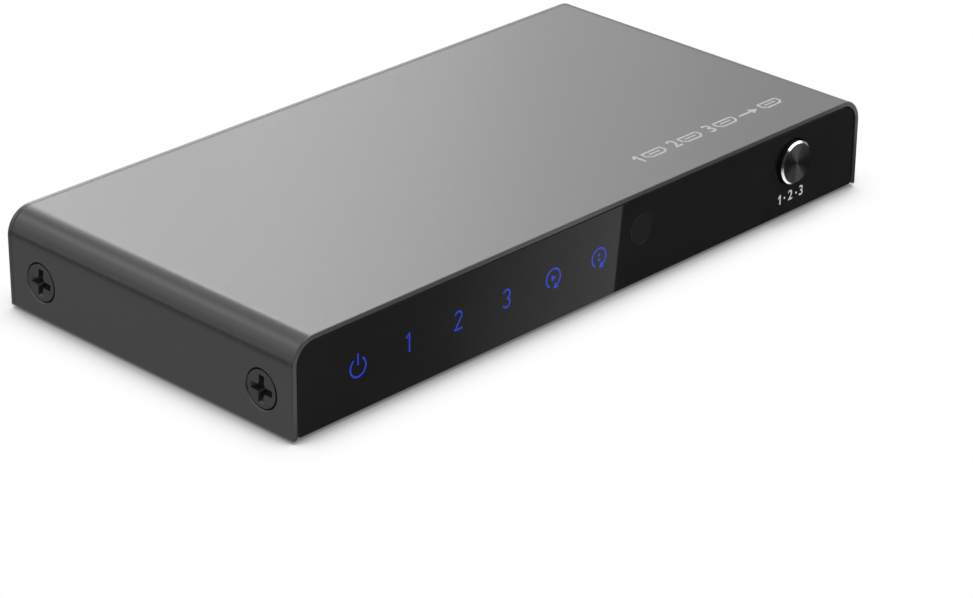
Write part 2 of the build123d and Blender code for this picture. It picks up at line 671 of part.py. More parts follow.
def port_insulator(x):
    """The black tongue and the block that holds it in the shell."""
    body = prism(offset(port_face(x, 0), -PORT_GAP), SHELL_BACK_Y, SHELL_BACK_Y + PORT_BLOCK_LEN)
    body += block(x - TONGUE_W / 2, x + TONGUE_W / 2, SHELL_BACK_Y, TONGUE_Y,
                  TONGUE_Z - TONGUE_T / 2, TONGUE_Z + TONGUE_T / 2)
    for count, z0, z1, _ in contact_rows():
        body -= [Pos((i - (count - 1) / 2) * CONTACT_PITCH, 0, 0)
                 * block(x - CONTACT_W / 2, x + CONTACT_W / 2, SHELL_BACK_Y - BEYOND,
                         SHELL_BACK_Y + PORT_BLOCK_LEN, z0, z1) for i in range(count)]
    return body


def jack_legs():
    """The jack's terminals: the pin's behind the housing, the spring's at its side."""
    return {"pin": (JACK_X, JACK_BACK_Y - JACK_LEG_T / 2),
            "spring": (JACK_X + JACK_W / 2 + JACK_LEG_T / 2, JACK_BACK_Y + JACK_LEN / 2)}


def jack_housing():
    """The jack's black housing, with its round nose through the rear wall."""
    half = JACK_W / 2
    body = block(JACK_X - half, JACK_X + half, JACK_BACK_Y, JACK_FACE_Y, BOARD_TOP,
                 BOARD_TOP + JACK_H)
    body = chamfer(body.edges().filter_by(Axis.Y).group_by(Axis.Z)[-1], JACK_LEG_T)
    body += along_y(JACK_X, JACK_Z, JACK_NOSE_R, JACK_FACE_Y, JACK_MOUTH_Y)
    body -= along_y(JACK_X, JACK_Z, JACK_BORE_R, JACK_BORE_END_Y, JACK_MOUTH_Y + BEYOND)
    body -= along_y(JACK_X, JACK_Z, JACK_ROOT_R, JACK_BACK_Y - BEYOND, JACK_BORE_END_Y + BEYOND)
    return body - spring_slot()


def spring_slot():
    """The side slot that the jack's spring lies in."""
    _, y = jack_legs()["spring"]
    return block(JACK_X + JACK_BORE_R - SPRING_T, JACK_X + JACK_W / 2 + BEYOND,
                 y - SPRING_W / 2, y + SPRING_W / 2, JACK_Z - SPRING_W / 2, JACK_Z + SPRING_W / 2)


def jack_pin():
    """The centre pin with its terminal behind the housing."""
    x, y = jack_legs()["pin"]
    pin = along_y(x, JACK_Z, JACK_PIN_R, JACK_BORE_END_Y, JACK_MOUTH_Y - JACK_PIN_SET_BACK)
    pin += along_y(x, JACK_Z, JACK_ROOT_R, y, JACK_BORE_END_Y)
    return pin + pillar(x, y, JACK_LEG_W, JACK_LEG_T, TAIL_Z, JACK_Z + JACK_ROOT_R)


def jack_spring():
    """The side contact: a strip through the slot and a terminal down the housing."""
    x, y = jack_legs()["spring"]
    strip = block(JACK_X + JACK_BORE_R, x, y - SPRING_W / 2, y + SPRING_W / 2,
                  JACK_Z - SPRING_T / 2, JACK_Z + SPRING_T / 2)
    pad = block(JACK_X + JACK_BORE_R, JACK_X + JACK_BORE_R + SPRING_T, y - SPRING_W / 2,
                y + SPRING_W / 2, JACK_Z - SPRING_W / 2, JACK_Z + SPRING_W / 2)
    return strip + pad + pillar(x, y, JACK_LEG_T, JACK_LEG_W, TAIL_Z, JACK_Z + SPRING_W / 2)


def main_board():
    """The circuit board, with a hole for every leg that goes through it."""
    board = block(-BOARD_HALF_W, BOARD_HALF_W, BOARD_FRONT_Y, BOARD_BACK_Y, BOARD_Z, BOARD_TOP)
    z0, z1 = BOARD_Z - BEYOND, BOARD_TOP + BEYOND
    around = 2 * SLOT_GAP
    holes = [along_z(x, y, BOARD_HOLE_R, z0, z1) for x, y in STANDOFFS]
    peg_y = (WALL_BACK_Y + GUIDE_BACK_Y) / 2
    holes += [along_z(x, peg_y, PEG_R + SLOT_GAP, z0, z1) for x in peg_xs()]
    for px in PORT_X:
        holes += [pillar(x, y, SHELL_T + around, PORT_LEG_W + around, z0, z1)
                  for x, y in port_legs(px)]
    _, leads = ir_places()
    holes += [pillar(x, y, IR_LEAD + around, IR_LEAD + around, z0, z1) for x, y in leads]
    holes += [pillar(x, y, BRACKET_T + around, BRACKET_D + around, z0, z1)
              for x, y in tact_legs()]
    notch_w = 2 * FLANGE_R + NOTCH_GAP
    holes.append(pillar(BUTTON_AXIS[0], BOARD_FRONT_Y, notch_w,
                        2 * (PUSH_END_Y - BOARD_FRONT_Y), z0, z1))
    px, py = jack_legs()["pin"]
    sx, sy = jack_legs()["spring"]
    holes.append(pillar(px, py, JACK_LEG_W + around, JACK_LEG_T + around, z0, z1))
    holes.append(pillar(sx, sy, JACK_LEG_T + around, JACK_LEG_W + around, z0, z1))
    return board - holes


def board_standoffs():
    """Four threaded standoffs, pressed into the tray's floor."""
    standoffs = []
    for x, y in STANDOFFS:
        post = along_z(x, y, STANDOFF_R, FLOOR_Z, BOARD_Z)
        post += along_z(x, y, SPIGOT_R, BASE_Z, FLOOR_Z)
        standoffs.append(post - along_z(x, y, SCREW_R + THREAD_GAP, FLOOR_Z - SHEET / 2,
                                        BOARD_Z + BEYOND))
    return standoffs


def board_screws():
    """Four pan-head screws down into the standoffs."""
    screw = along_z(0, 0, PAN_HEAD_R, 0, PAN_HEAD_H)
    screw = fillet(screw.edges().group_by(Axis.Z)[-1], PAN_HEAD_H / 2)
    length = min(BOARD_SCREW_LEN, BOARD_T + STANDOFF_H)
    screw += along_z(0, 0, SCREW_R, -length, 0)
    screw -= Pos(0, 0, PAN_HEAD_H) * Rot(0, 0, 20) * cross_recess(RECESS_DEEP)
    return [Pos(x, y, BOARD_TOP) * screw for x, y in STANDOFFS]


def leaded_chip(x, y, width, depth, height, leads, pitch, sides):
    """A moulded package on gull-wing leads along two or four of its sides."""
    seat = BOARD_TOP + LEAD_T
    body = pillar(x, y, width, depth, seat, seat + height)
    body = chamfer(body.edges().group_by(Axis.Z)[-1], LEAD_T)
    lead_w = pitch * 0.45
    knee = seat + height / 2
    legs = []
    for turn in sides:
        reach = (width if turn % 180 else depth) / 2
        for i in range(leads):
            at = (i - (leads - 1) / 2) * pitch
            leg = block(at - lead_w / 2, at + lead_w / 2, reach, reach + 0.5, knee, knee + LEAD_T)
            leg += block(at - lead_w / 2, at + lead_w / 2, reach + 0.5 - LEAD_T, reach + 0.5,
                         BOARD_TOP, knee)
            leg += block(at - lead_w / 2, at + lead_w / 2, reach + 0.5 - LEAD_T, reach + 1.1,
                         BOARD_TOP, BOARD_TOP + LEAD_T)
            legs.append(Pos(x, y, 0) * Rot(0, 0, turn) * leg)
    return body + legs


def switch_chip():
    return leaded_chip(CHIP_X, CHIP_Y, CHIP_W, CHIP_W, CHIP_H, CHIP_LEAD_COUNT, CHIP_PITCH,
                       (0, 90, 180, 270))


def microcontroller():
    return leaded_chip(MICRO_X, MICRO_Y, MICRO_W, MICRO_D, MICRO_H, MICRO_LEAD_COUNT,
                       MICRO_PITCH, (0, 180))


def thermal_pad():
    return pillar(CHIP_X, CHIP_Y, CHIP_W - 1, CHIP_W - 1, PAD_Z, PAD_Z + PAD_T)


def chip_heatsink():
    """A finned block over the switch chip."""
    z0 = PAD_Z + PAD_T
    sink = pillar(CHIP_X, CHIP_Y, SINK_W, SINK_W, z0, z0 + SINK_BASE)
    step = (SINK_W - SINK_FIN_T) / (SINK_FINS - 1)
    first = CHIP_X - (SINK_W - SINK_FIN_T) / 2
    sink += [pillar(first + i * step, CHIP_Y, SINK_FIN_T, SINK_W, z0 + SINK_BASE, z0 + SINK_H)
             for i in range(SINK_FINS)]
    return sink


def voltage_regulator():
    """A small power package with a wide tab at the back and three leads in front."""
    seat = BOARD_TOP + LEAD_T
    body = pillar(REG_X, REG_Y, REG_W, REG_D, seat, seat + REG_H)
    body = chamfer(body.edges().group_by(Axis.Z)[-1], 2 * LEAD_T)
    edge = REG_D / 2
    body += pillar(REG_X, REG_Y + edge, REG_W / 2, REG_D, BOARD_TOP, seat + LEAD_T)
    body += [pillar(REG_X + i * REG_W / 3, REG_Y - edge, REG_W / 9, REG_D, BOARD_TOP,
                    seat + LEAD_T) for i in (-1, 0, 1)]
    return body


def crystal():
    """A timing crystal in its stadium-shaped can."""
    can = extrude(SlotOverall(CRYSTAL_W, CRYSTAL_D), CRYSTAL_H)
    can = fillet(can.edges().group_by(Axis.Z)[-1], LEAD_T * 3)
    rim = extrude(SlotOverall(CRYSTAL_W + 4 * LEAD_T, CRYSTAL_D + 4 * LEAD_T), 2 * LEAD_T)
    return Pos(MICRO_X, CRYSTAL_Y, BOARD_TOP) * (can + rim)


def power_inductor():
    """A square shielded coil with round corners and a round lid."""
    coil = pillar(COIL_X, COIL_Y, COIL_W, COIL_W, BOARD_TOP, BOARD_TOP + COIL_H * 0.85)
    coil = fillet(coil.edges().filter_by(Axis.Z), COIL_W / 5)
    return coil + along_z(COIL_X, COIL_Y, COIL_W * 0.42, BOARD_TOP + COIL_H * 0.85,
                          BOARD_TOP + COIL_H)


def filter_capacitors():
    """Aluminium cans on square bases."""
    cans = []
    for x, y in CANS:
        base = pillar(x, y, CAN_BASE, CAN_BASE, BOARD_TOP, BOARD_TOP + CAN_H / 6)
        base = chamfer(base.edges().filter_by(Axis.Z).group_by(Axis.Y)[0], CAN_BASE / 6)
        can = along_z(x, y, CAN_R, BOARD_TOP, BOARD_TOP + CAN_H)
        can = fillet(can.edges().group_by(Axis.Z)[-1], CAN_R / 6)
        cans.append(base + can)
    return cans


def save(name, *pieces):
    """Write one node: a solid, or a group of separate solids."""
    export_step(Compound([piece.solid() for piece in pieces]), f"parts/{name}.step")


def main():
    os.makedirs("parts", exist_ok=True)
    save("top_cover", top_cover())
    save("bottom_tray", bottom_tray())
    save("front_fascia", front_fascia())
    save("fascia_tape", fascia_tape())
    save("light_box", light_box())
    for i, name in enumerate(ICON_NAMES):
        save(f"light_guide_{name}", light_guide(i))
        save(f"led_{name}", led(i))
    save("ir_window", ir_window())
    save("ir_receiver", ir_receiver())
    save("select_button_cap", select_button_cap())
    save("select_button_stem", select_button_stem())
    save("tact_switch_base", tact_switch_base())
    save("tact_switch_plunger", tact_switch_plunger())
    for name, x in zip(PORT_NAMES, PORT_X):
        save(f"{name}_shell", port_shell(x))
        save(f"{name}_insulator", port_insulator(x))
        save(f"{name}_contacts", *port_contacts(x))
    save("jack_housing", jack_housing())
    save("jack_pin", jack_pin())
    save("jack_spring", jack_spring())
    save("main_board", main_board())
    save("board_standoffs", *board_standoffs())
    save("board_screws", *board_screws())
    save("cover_screws", *cover_screws())
    save("switch_chip", switch_chip())
    save("thermal_pad", thermal_pad())
    save("chip_heatsink", chip_heatsink())
    save("microcontroller", microcontroller())
    save("voltage_regulator", voltage_regulator())
    save("crystal", crystal())
    save("power_inductor", power_inductor())
    save("filter_capacitors", *filter_capacitors())
    for side, sign in (("left", -1), ("right", 1)):
        x = sign * (HALF_W - FOOT_INSET_X)
        save(f"foot_front_{side}", foot(x, FRONT_Y + FOOT_INSET_Y))
        save(f"foot_back_{side}", foot(x, BACK_Y - FOOT_INSET_Y))


main()
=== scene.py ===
import math
import bmesh
import bpy
from mathutils import Matrix, Vector


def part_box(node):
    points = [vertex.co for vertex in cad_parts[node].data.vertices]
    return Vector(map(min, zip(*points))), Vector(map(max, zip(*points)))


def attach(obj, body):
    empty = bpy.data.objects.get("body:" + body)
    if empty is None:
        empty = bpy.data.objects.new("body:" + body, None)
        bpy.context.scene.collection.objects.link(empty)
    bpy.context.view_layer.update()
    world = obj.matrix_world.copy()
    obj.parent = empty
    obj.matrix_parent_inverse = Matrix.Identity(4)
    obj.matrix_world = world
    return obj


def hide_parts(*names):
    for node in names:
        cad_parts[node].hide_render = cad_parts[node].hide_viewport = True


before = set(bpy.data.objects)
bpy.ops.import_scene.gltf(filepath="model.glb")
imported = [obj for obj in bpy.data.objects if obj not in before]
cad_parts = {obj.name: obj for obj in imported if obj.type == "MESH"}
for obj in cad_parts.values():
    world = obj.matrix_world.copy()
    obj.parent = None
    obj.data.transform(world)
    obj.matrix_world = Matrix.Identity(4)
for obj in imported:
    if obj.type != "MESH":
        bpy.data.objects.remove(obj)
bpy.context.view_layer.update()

# A flat video switch box with lit icons, a remote window and a push button on its front.
# Shapes are worked out in millimetres and made metres when a piece is finished.
# X runs along the front, -Y comes out of it, and Z is up.

MM = 0.001
WELD = 1e-4             # points nearer than this are one
FLAT_ANGLE = 0.3        # faces that differ by fewer degrees become one
CREASE = 32             # edges that turn by more degrees stay sharp
TURN_STEPS = 96
CORNER_STEPS = 8
PAST = 1.0              # how far a cutter goes past what it cuts

# Camera, fitted to the photograph
CAMERA_AT = (-349.4, -341.5, 228.9)
CAMERA_YAW = 46.354     # from +Y towards +X
CAMERA_PITCH = 26.057   # downwards
CAMERA_ROLL = 0.582
CAMERA_LENS = 122.6
CAMERA_SENSOR = 36.0
CAMERA_NEAR = 0.01      # metres
CAMERA_FAR = 100

# Case
SHEET = 0.8
COVER_SHEET = 0.9
BEND_R = 4.4
BEND_STEPS = 28
LIP = 0.4               # chamfer inside the cover's bottom edges
SHEET_EDGE = 0.12       # rounding of the cut edges of the sheet
TRAY_GAP = 0.1
TRAY_BEND = 0.7
TRAY_BACK = 31.35       # inside of the rear wall
HOLE_ROOM = 0.3         # light guides and button to their holes in the front wall
TAB_W = 7.0
TAB_TOP = 11.1
TAB_CORNER = 2.0
COLLAR_R = 2.7
COLLAR_LEN = 2.3
THREAD_R = 1.52
STANDOFF_X = 53.05
STANDOFF_YS = (-18.0, 12.05)
SPIGOT_R = 1.95
FOOT_EDGE = ((0.17, 0), (0.06, 0.05), (0, 0.17))    # rounding of a foot: inwards, up

# Cover screws
SCREW_YS = (-25.4, 24.55)
SCREW_Z = 6.7
SCREW_TURNS = ((-1, (3, 5)), (1, (33, -21)))        # for each side, as they were driven
CSK_R = 3.25
CSK_DEEP = 2.0
CSK_EDGE = 0.22         # rounding of a countersink's edge, along the face
CSK_LAND = 0.35         # straight part of a countersink and of a head
HEAD_SINK = 0.05
HEAD_GAP = 0.19         # head to countersink
HEAD_EDGE = 0.05
SCREW_LEN = 5.0
SCREW_R = 1.5
SCREW_END = 0.2         # chamfer at the far end
SLOT_ABOVE = 0.3        # height of the recess's cutters over the head
SLOT_DEEP = 1.5
SLOT_TOP = (5.05, 1.2)  # length and width of a slot of the recess
SLOT_FOOT = (2.3, 0.65)
SLOT_CORE = ((0, -1.9), (0.5, -1.5), (1.15, SLOT_ABOVE), (0, SLOT_ABOVE))
SLOT_CORE_STEPS = 24

# Front
FASCIA_GAP = 0.2
FASCIA_EDGE = 0.06
FASCIA_FOOT_RS = (0.5, 0.15)
FASCIA_INSET = 0.15     # dark line between the plate and the cover
FASCIA_DROP = 0.16
FASCIA_SHIFT = 0.06     # the line is narrower on the right
ICONS = ("power", "1", "2", "3", "auto", "remote")
ICON_FACE = 0.01        # points this near the front belong to an icon's face
ICON_REACH = 0.5
ICON_BLUE = (0.014, 0.04, 0.48)
GLOW_FADE = (0.3, 0.5)  # depths behind the front between which the light ends
GLOW_CLOUD = (0.9, 1.05)
WINDOW_HOLE_GAP = 0.03
WINDOW_FLANGE_T = 0.6
WINDOW_FLANGE_R = 3.2
WINDOW_R = 2.57
WINDOW_EDGE = ((0, 0.12), (0.04, 0.04), (0.12, 0))  # rounding of the lens: inwards, back
BUTTON_HOLE_R = 4.0
BUTTON_R = 3.75
BUTTON_CHAMFER = 0.3
BUTTON_SKIN = 0.9
BUTTON_SOCKET_R = 3.0
BUTTON_STEPS = 128
BUTTON_CREASE = 20
RING_GRAIN = 0.06       # between the rings of the turned face

# Video sockets
PORTS = ("video_in_1", "video_in_2", "video_in_3", "video_out")
MOUTH_W = 14.0
MOUTH_H = 4.55
MOUTH_FOOT_W = 10.2
MOUTH_SIDE_H = 2.75
MOUTH_CORNER = 0.4
SHELL_T = 0.4
SHELL_EDGE = 0.1
PORT_Z = 8.825
PORT_ROOM = 0.25        # shell to its cut-out
BOARD_TOP = 5.9
BOARD_BACK = 30.55
LEG_W = 1.6
LEG_INSET = 2.0         # legs from the shell's back and from the board's edge
LEAF_HALF_W = 1.1
LEAF_T = 0.15
LEAF_LEN = 4.6
LEAF_BOW = 0.32
LEAF_SUNK = 0.05        # part of a spring that is in the shell's wall
LEAF_STEPS = 10
LEAF_SET_BACK = 1.2
LEAF_ROWS = ((1, 3.6, 0), (-1, 2.6, 180))           # upper or lower, from the middle, turn
CORE_LEN = 3.0
CORE_GAP = 0.03
TONGUE_W = 11.4
TONGUE_T = 1.5
TONGUE_Z = 9.175
TONGUE_EDGE = 0.15
TONGUE_SET_BACK = 1.4
CONTACT_SET_BACK = 0.8
CONTACT_PITCH = 1.0
CONTACT_W = 0.45
CONTACT_T = 0.12
CONTACT_EDGE = 0.03
CONTACT_ROWS = ((10, TONGUE_Z + TONGUE_T / 2, 1.5),  # count, height, tail behind the shell
                (9, TONGUE_Z - TONGUE_T / 2 - CONTACT_T, 0.6))

# Power jack
JACK_Z = 9.2
JACK_EDGE = 0.25
JACK_NOSE_R = 2.9
JACK_NOSE_LEN = 1.45
JACK_NOSE_EDGE = 0.15
JACK_BORE_R = 1.85
JACK_BORE_LEN = 8.5
JACK_FLARE = 0.3        # chamfer at the bore's mouth
JACK_ROOT_R = 0.9
JACK_ROOT_LEN = 12.0
JACK_SLOT_IN = 0.3      # the spring's slot, inside the bore's wall
JACK_SLOT_H = 1.6

# Printed marks, each row of them about y = 0
PRINT_T = 0.02
RING_STEPS = 32
DOT_STEPS = 16
MARK_RIM = (1.6, 0.1)   # a drawn socket's line: outwards from the mouth
MARK_TONGUE = (0.33, -0.035, 0.055)                 # half its length, foot and top
TOP_PRINT_AT = (34.9, -23.65)
TOP_NUMBER_XS = (-16.2, -7.4, 1.4)
TOP_NUMBER_SIZE = 3.9
TOP_MARK_STEP = 3.9     # from a number to its socket
TOP_MARK_SCALE = 0.29
TOP_ARROW_X = 11.0
TOP_OUT_X = 16.7
FRONT_PRINT_Z = 3.6
FRONT_NUMBER_SIZE = 2.5
FRONT_STEP = 2.8
FRONT_DOT_X = 1.5
FRONT_DOT_R = 0.2
BACK_PRINT_Z = 13.6
BACK_NUMBER_SIZE = 2.2
POLE_X = 2.6            # from the middle of the polarity drawing
POLE_RING = (0.75, 0.6)
POLE_SIGN = 0.35        # half the length of a minus or a plus
POLE_STROKE = 0.14
PLUS_GAP = 0.08         # the plus's upright starts beyond its level stroke
POLE_WIRE = (0.85, 1.75)
POLE_WIRE_W = 0.16
PLUG_RING = (0.75, 0.5)
PLUG_PIN_R = 0.22

# Finishes
NOISE_SPAN = (0.3, 0.7)                             # noise rarely leaves this range
BROAD_GRAIN = 12

# Floor's painted shadow: how open the floor is to the sky, and how light it shows
FLOOR = ((-100000, -60000, 0), (100000, -60000, 0), (0, 120000, 0))
FLOOR_SHADE = 0.85
SHADOW_REACH = 8.0
SHADOW_SAMPLES = 24
SHADOW_STEPS = ((0.1, 0.12), (0.345, 0.27), (0.445, 0.31), (0.51, 0.36), (0.545, 0.42),
                (0.57, 0.54), (0.605, 0.635), (0.645, 0.71), (0.70, 0.81), (0.752, 0.865),
                (0.827, 0.935), (0.886, 0.97), (1.0, 1.0))

# Lamps: bearings in degrees from +Y towards +X, heights in degrees, sizes in metres
LAMP_DISTANCE = 1.4
LAMP_WATTS = 4          # for each square metre at a light of 1
LOW_SKY = ((0.0, 0.2), (0.447, 0.455), (0.6, 0.46), (0.72, 0.41), (1.0, 0.41))
BACK_LIGHTS = (         # first and last bearing, light
    (10, 34, 0.93), (34, 41, 1.08), (41, 46, 0.98), (46, 51, 0.58), (51, 62, 0.38))
BACK_HEIGHT = 24.5
BACK_TALL = 0.72
SOFTBOXES = (           # name, bearing, height, width, tallness, light
    ("front_key", 152, 42, 1.15, 0.55, 1.2),
    ("side_key", 108, 30, 0.6, 0.6, 1.8),
    ("over_key", 110, 68, 1.0, 0.8, 1.2),
    ("bend_fill", -28, 40, 0.5, 0.3, 0.27),
    ("bend_glow", 33, 37.5, 0.24, 0.2, 0.9))

# Reflectors: sheets that only gloss sees, with steps of distance and light
ALONG_X = (1, 0, 0)
ALONG_Z = (0, 0, 1)
DARK = 0.03
FAR = 600.0
FLAG_Z = 0.12           # height of the level sheets
FLAG_LEFT = -65.2       # left end of the sheets before the case
FLAG_CORNER = -64.6     # where the front plate's own sheet starts at the case
FLAG_FRONT = -32.6      # near edge of the sheets before the case
FLAG_TOP = -55.0        # where the front plate's upper edge is mirrored
FLAG_RIGHT = 96.0
FLAG_RIGHT_FOOT = 71.0
GLARE_WAY = (0.634, 0.774, 0)
GLARE_STEPS = ((-54, 0.07), (-46, 0.14), (-22.21, 0.62), (-22.06, 0.04), (-20, 0.04))
RIM_FRONT = -66.0       # the cover's rim mirrors what lies from here to FLAG_TOP
RIM_LEFT = -44.0        # the strips of light for the rim meet at these places
RIM_RIGHT = 45.0
RIM_TURN = 80.0
RIM_END = 105.0
RIM_STEPS = ((RIM_LEFT, 0.5), (0, 0.36), (RIM_RIGHT, 0.36))
RIM_LEFT_LIGHT = 0.65
RIM_RIGHT_LIGHT = 0.3
RIM_END_LIGHT = 0.1
SIDE_EDGE = -65.6       # near edge of the sheet beside the case
SIDE_FAR = 400.0
SIDE_STEPS = ((-400, 0.096), (-96, 0.096), (-88, 0.243), (-65, 0.243))
WALL_DISTANCE = 500.0   # dark sheets that stand round the camera's side
WALL_FOOT = 0.3
DARK_WALLS = (("dark_camera_side", 183, 232, 560),  # bearings of its ends, top
              ("dark_under_key", 150, 183, 270))
CARD_POINTS = (         # small sheets beside the button, for its metal
    (41.5, -33.3, 6.2), (41.5, -35.8, 6.2), (51, -37.5, 0.215), (51, -32.4, 0.215))
CARD_STEPS = ((41.5, 0.8), (43.3, 0.85), (44.5, 1.1), (51, 1.1))
WING_POINTS = ((41, -38, 4), (41, -33.2, 4), (41, -33.2, 9), (41, -38, 9))
WING_STEPS = ((4, 0.75), (4.9, 0.6), (7.5, 0.16), (8.6, DARK), (9, DARK))

# A drawing's x and y laid on the front, the top, the back and the sides of the case
ON_FRONT = Matrix(((1, 0, 0, 0), (0, 0, -1, 0), (0, 1, 0, 0), (0, 0, 0, 1)))
ON_TOP = Matrix.Identity(4)
ON_BACK = Matrix(((-1, 0, 0, 0), (0, 0, 1, 0), (0, 1, 0, 0), (0, 0, 0, 1)))
ON_SIDE = Matrix(((0, 0, 1, 0), (1, 0, 0, 0), (0, 1, 0, 0), (0, 0, 0, 1)))


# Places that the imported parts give

def box_of(node):
    """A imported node's lowest and highest corner in millimetres."""
    low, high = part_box(node)
    return low / MM, high / MM


def middle(node):
    """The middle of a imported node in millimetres."""
    low, high = box_of(node)
    return (low + high) / 2


CASE_HALF_W = box_of("top_cover")[1].x
CASE_FOOT = box_of("top_cover")[0].z
CASE_TOP = box_of("top_cover")[1].z
FASCIA_FACE = box_of("front_fascia")[0].y
TRAY_HALF_W = CASE_HALF_W - SHEET - TRAY_GAP
WINDOW_X, WINDOW_Z = middle("ir_window").x, middle("ir_window").z
BUTTON_X, BUTTON_Z = middle("select_button_cap").x, middle("select_button_cap").z
JACK_X = middle("jack_pin").x


# Meshes

def helper(data):
    """An object that holds a mesh or a curve while it is worked on."""
    holder = bpy.data.objects.new("helper", data)
    bpy.context.scene.collection.objects.link(holder)
    return holder


def as_mesh(holder):
    """The plain mesh that a helper shows, with its modifiers applied."""
    bpy.context.view_layer.update()
    shown = holder.evaluated_get(bpy.context.evaluated_depsgraph_get())
    mesh = bpy.data.meshes.new_from_object(shown)
    bpy.data.objects.remove(holder)
    return mesh


def welded(mesh, merge_flat=False):
    """The mesh with its loose faces joined and all of them facing outwards."""
    bm = bmesh.new()
    bm.from_mesh(mesh)
    bmesh.ops.remove_doubles(bm, verts=bm.verts, dist=WELD)
    bmesh.ops.dissolve_degenerate(bm, edges=bm.edges, dist=WELD)
    if merge_flat:
        bmesh.ops.dissolve_limit(bm, angle_limit=math.radians(FLAT_ANGLE), verts=bm.verts,
                                 edges=bm.edges, delimit={"MATERIAL"})
    bmesh.ops.recalc_face_normals(bm, faces=bm.faces)
    bm.to_mesh(mesh)
    bm.free()
    return mesh


def to_mesh(bm):
    """A closed bmesh as a mesh with its faces outwards."""
    bmesh.ops.recalc_face_normals(bm, faces=bm.faces)
    mesh = bpy.data.meshes.new("part")
    bm.to_mesh(mesh)
    bm.free()
    return mesh


def combined(mesh, others, operation):
    """The mesh cut by, or joined with, each of the others in turn."""
    for other in others:
        base = helper(mesh)
        tool = helper(other)
        modifier = base.modifiers.new("combine", "BOOLEAN")
        modifier.operation = operation
        modifier.solver = "EXACT"
        modifier.object = tool
        mesh = as_mesh(base)
        bpy.data.objects.remove(tool)
    return mesh


def cut(mesh, *tools):
    """The mesh with the shapes of the tools taken out of it."""
    return combined(mesh, tools, "DIFFERENCE")


def joined(mesh, *others):
    """The mesh and the others as one closed shape."""
    return combined(mesh, others, "UNION")


def gathered(meshes):
    """Several separate meshes as one."""
    bm = bmesh.new()
    for mesh in meshes:
        bm.from_mesh(mesh)
    return to_mesh(bm)


def block(low, high, edge=0.0):
    """A box between two corners, with its edges rounded."""
    bm = bmesh.new()
    bmesh.ops.create_cube(bm, size=1)
    size = Vector(high) - Vector(low)
    bmesh.ops.scale(bm, vec=size, verts=bm.verts)
    bmesh.ops.translate(bm, vec=Vector(low) + size / 2, verts=bm.verts)
    if edge:
        bmesh.ops.bevel(bm, geom=bm.edges, offset=edge, segments=2, affect="EDGES")
    return to_mesh(bm)


def turned(profile, steps=TURN_STEPS):
    """A body turned about Z from points of radius and height.

    Each face keeps the number of its profile step as its material.
    """
    bm = bmesh.new()
    rings = []
    for radius, height in profile:
        if radius == 0:
            rings.append([bm.verts.new((0, 0, height))])
            continue
        angles = [math.tau * i / steps for i in range(steps)]
        rings.append([bm.verts.new((radius * math.cos(a), radius * math.sin(a), height))
                      for a in angles])
    for step, (lower, upper) in enumerate(zip(rings, rings[1:])):
        for i in range(steps):
            around = [lower[i % len(lower)], lower[(i + 1) % steps % len(lower)],
                      upper[(i + 1) % steps % len(upper)], upper[i % len(upper)]]
            bm.faces.new(list(dict.fromkeys(around))).material_index = step
    return to_mesh(bm)


def rod(radius, low, high):
    """A plain round bar about Z between two heights."""
    return turned([(0, low), (radius, low), (radius, high), (0, high)])


def laid(mesh, turn, at):
    """The mesh turned by a matrix, then moved."""
    mesh.transform(Matrix.Translation(at) @ turn)
    return mesh


def drawn(outlines, thickness, edge=0.0):
    """A flat plate about z = 0 from closed outlines, with holes where they nest."""
    curve = bpy.data.curves.new("outline", "CURVE")
    curve.dimensions = "2D"
    curve.fill_mode = "BOTH"
    curve.extrude = thickness / 2 - edge
    curve.bevel_depth = edge
    curve.bevel_resolution = 2
    curve.offset = -edge
    for points in outlines:
        line = curve.splines.new("POLY")
        line.points.add(len(points) - 1)
        for point, (x, y) in zip(line.points, points):
            point.co = (x, y, 0, 1)
        line.use_cyclic_u = True
    return welded(as_mesh(helper(curve)))


def plate(outlines, front, back, edge=0.0):
    """A plate that faces the front, between two places along Y."""
    return laid(drawn(outlines, back - front, edge), ON_FRONT, (0, (front + back) / 2, 0))


def arc(cx, cy, radius, start, end, steps):
    """Points along an arc, its angles in degrees."""
    angles = [math.radians(start + (end - start) * i / steps) for i in range(steps + 1)]
    return [(cx + radius * math.cos(a), cy + radius * math.sin(a)) for a in angles]


def circle(cx, cy, radius, steps=TURN_STEPS):
    """Points once round a circle."""
    return arc(cx, cy, radius, 0, 360, steps)[:-1]


def rectangle(x0, y0, x1, y1):
    """The corners of a rectangle between two opposite ones."""
    return [(x0, y0), (x1, y0), (x1, y1), (x0, y1)]


def over_top(half_w, top, radius):
    """The line over the case from its right side to its left, round both bends."""
    points = arc(half_w - radius, top - radius, radius, 0, 90, BEND_STEPS)
    return points + arc(-half_w + radius, top - radius, radius, 90, 180, BEND_STEPS)


def arch(half_w, foot, top, top_r, foot_rs=()):
    """The outline of the case: upright sides and a round bend at each upper corner.

    The lower corners are square, or rounded with a radius for the left and the right one.
    """
    points = over_top(half_w, top, top_r)
    if foot_rs:
        left_r, right_r = foot_rs
        points += arc(-half_w + left_r, foot + left_r, left_r, 180, 270, CORNER_STEPS)
        points += arc(half_w - right_r, foot + right_r, right_r, 270, 360, CORNER_STEPS)
        return points
    return points + [(-half_w, foot), (half_w, foot)]


def rounded(corner_points, radius, steps=6):
    """A convex outline, listed anticlockwise, with its corners rounded."""
    points = []
    count = len(corner_points)
    for i in range(count):
        here = Vector(corner_points[i])
        back = (Vector(corner_points[i - 1]) - here).normalized()
        ahead = (Vector(corner_points[(i + 1) % count]) - here).normalized()
        half = back.angle(ahead) / 2
        centre = here + (back + ahead).normalized() * radius / math.sin(half)
        start = here + back * radius / math.tan(half) - centre
        sweep = 180 - math.degrees(2 * half)
        first = math.degrees(math.atan2(start.y, start.x))
        points += arc(centre.x, centre.y, radius, first, first + sweep, steps)
    return points


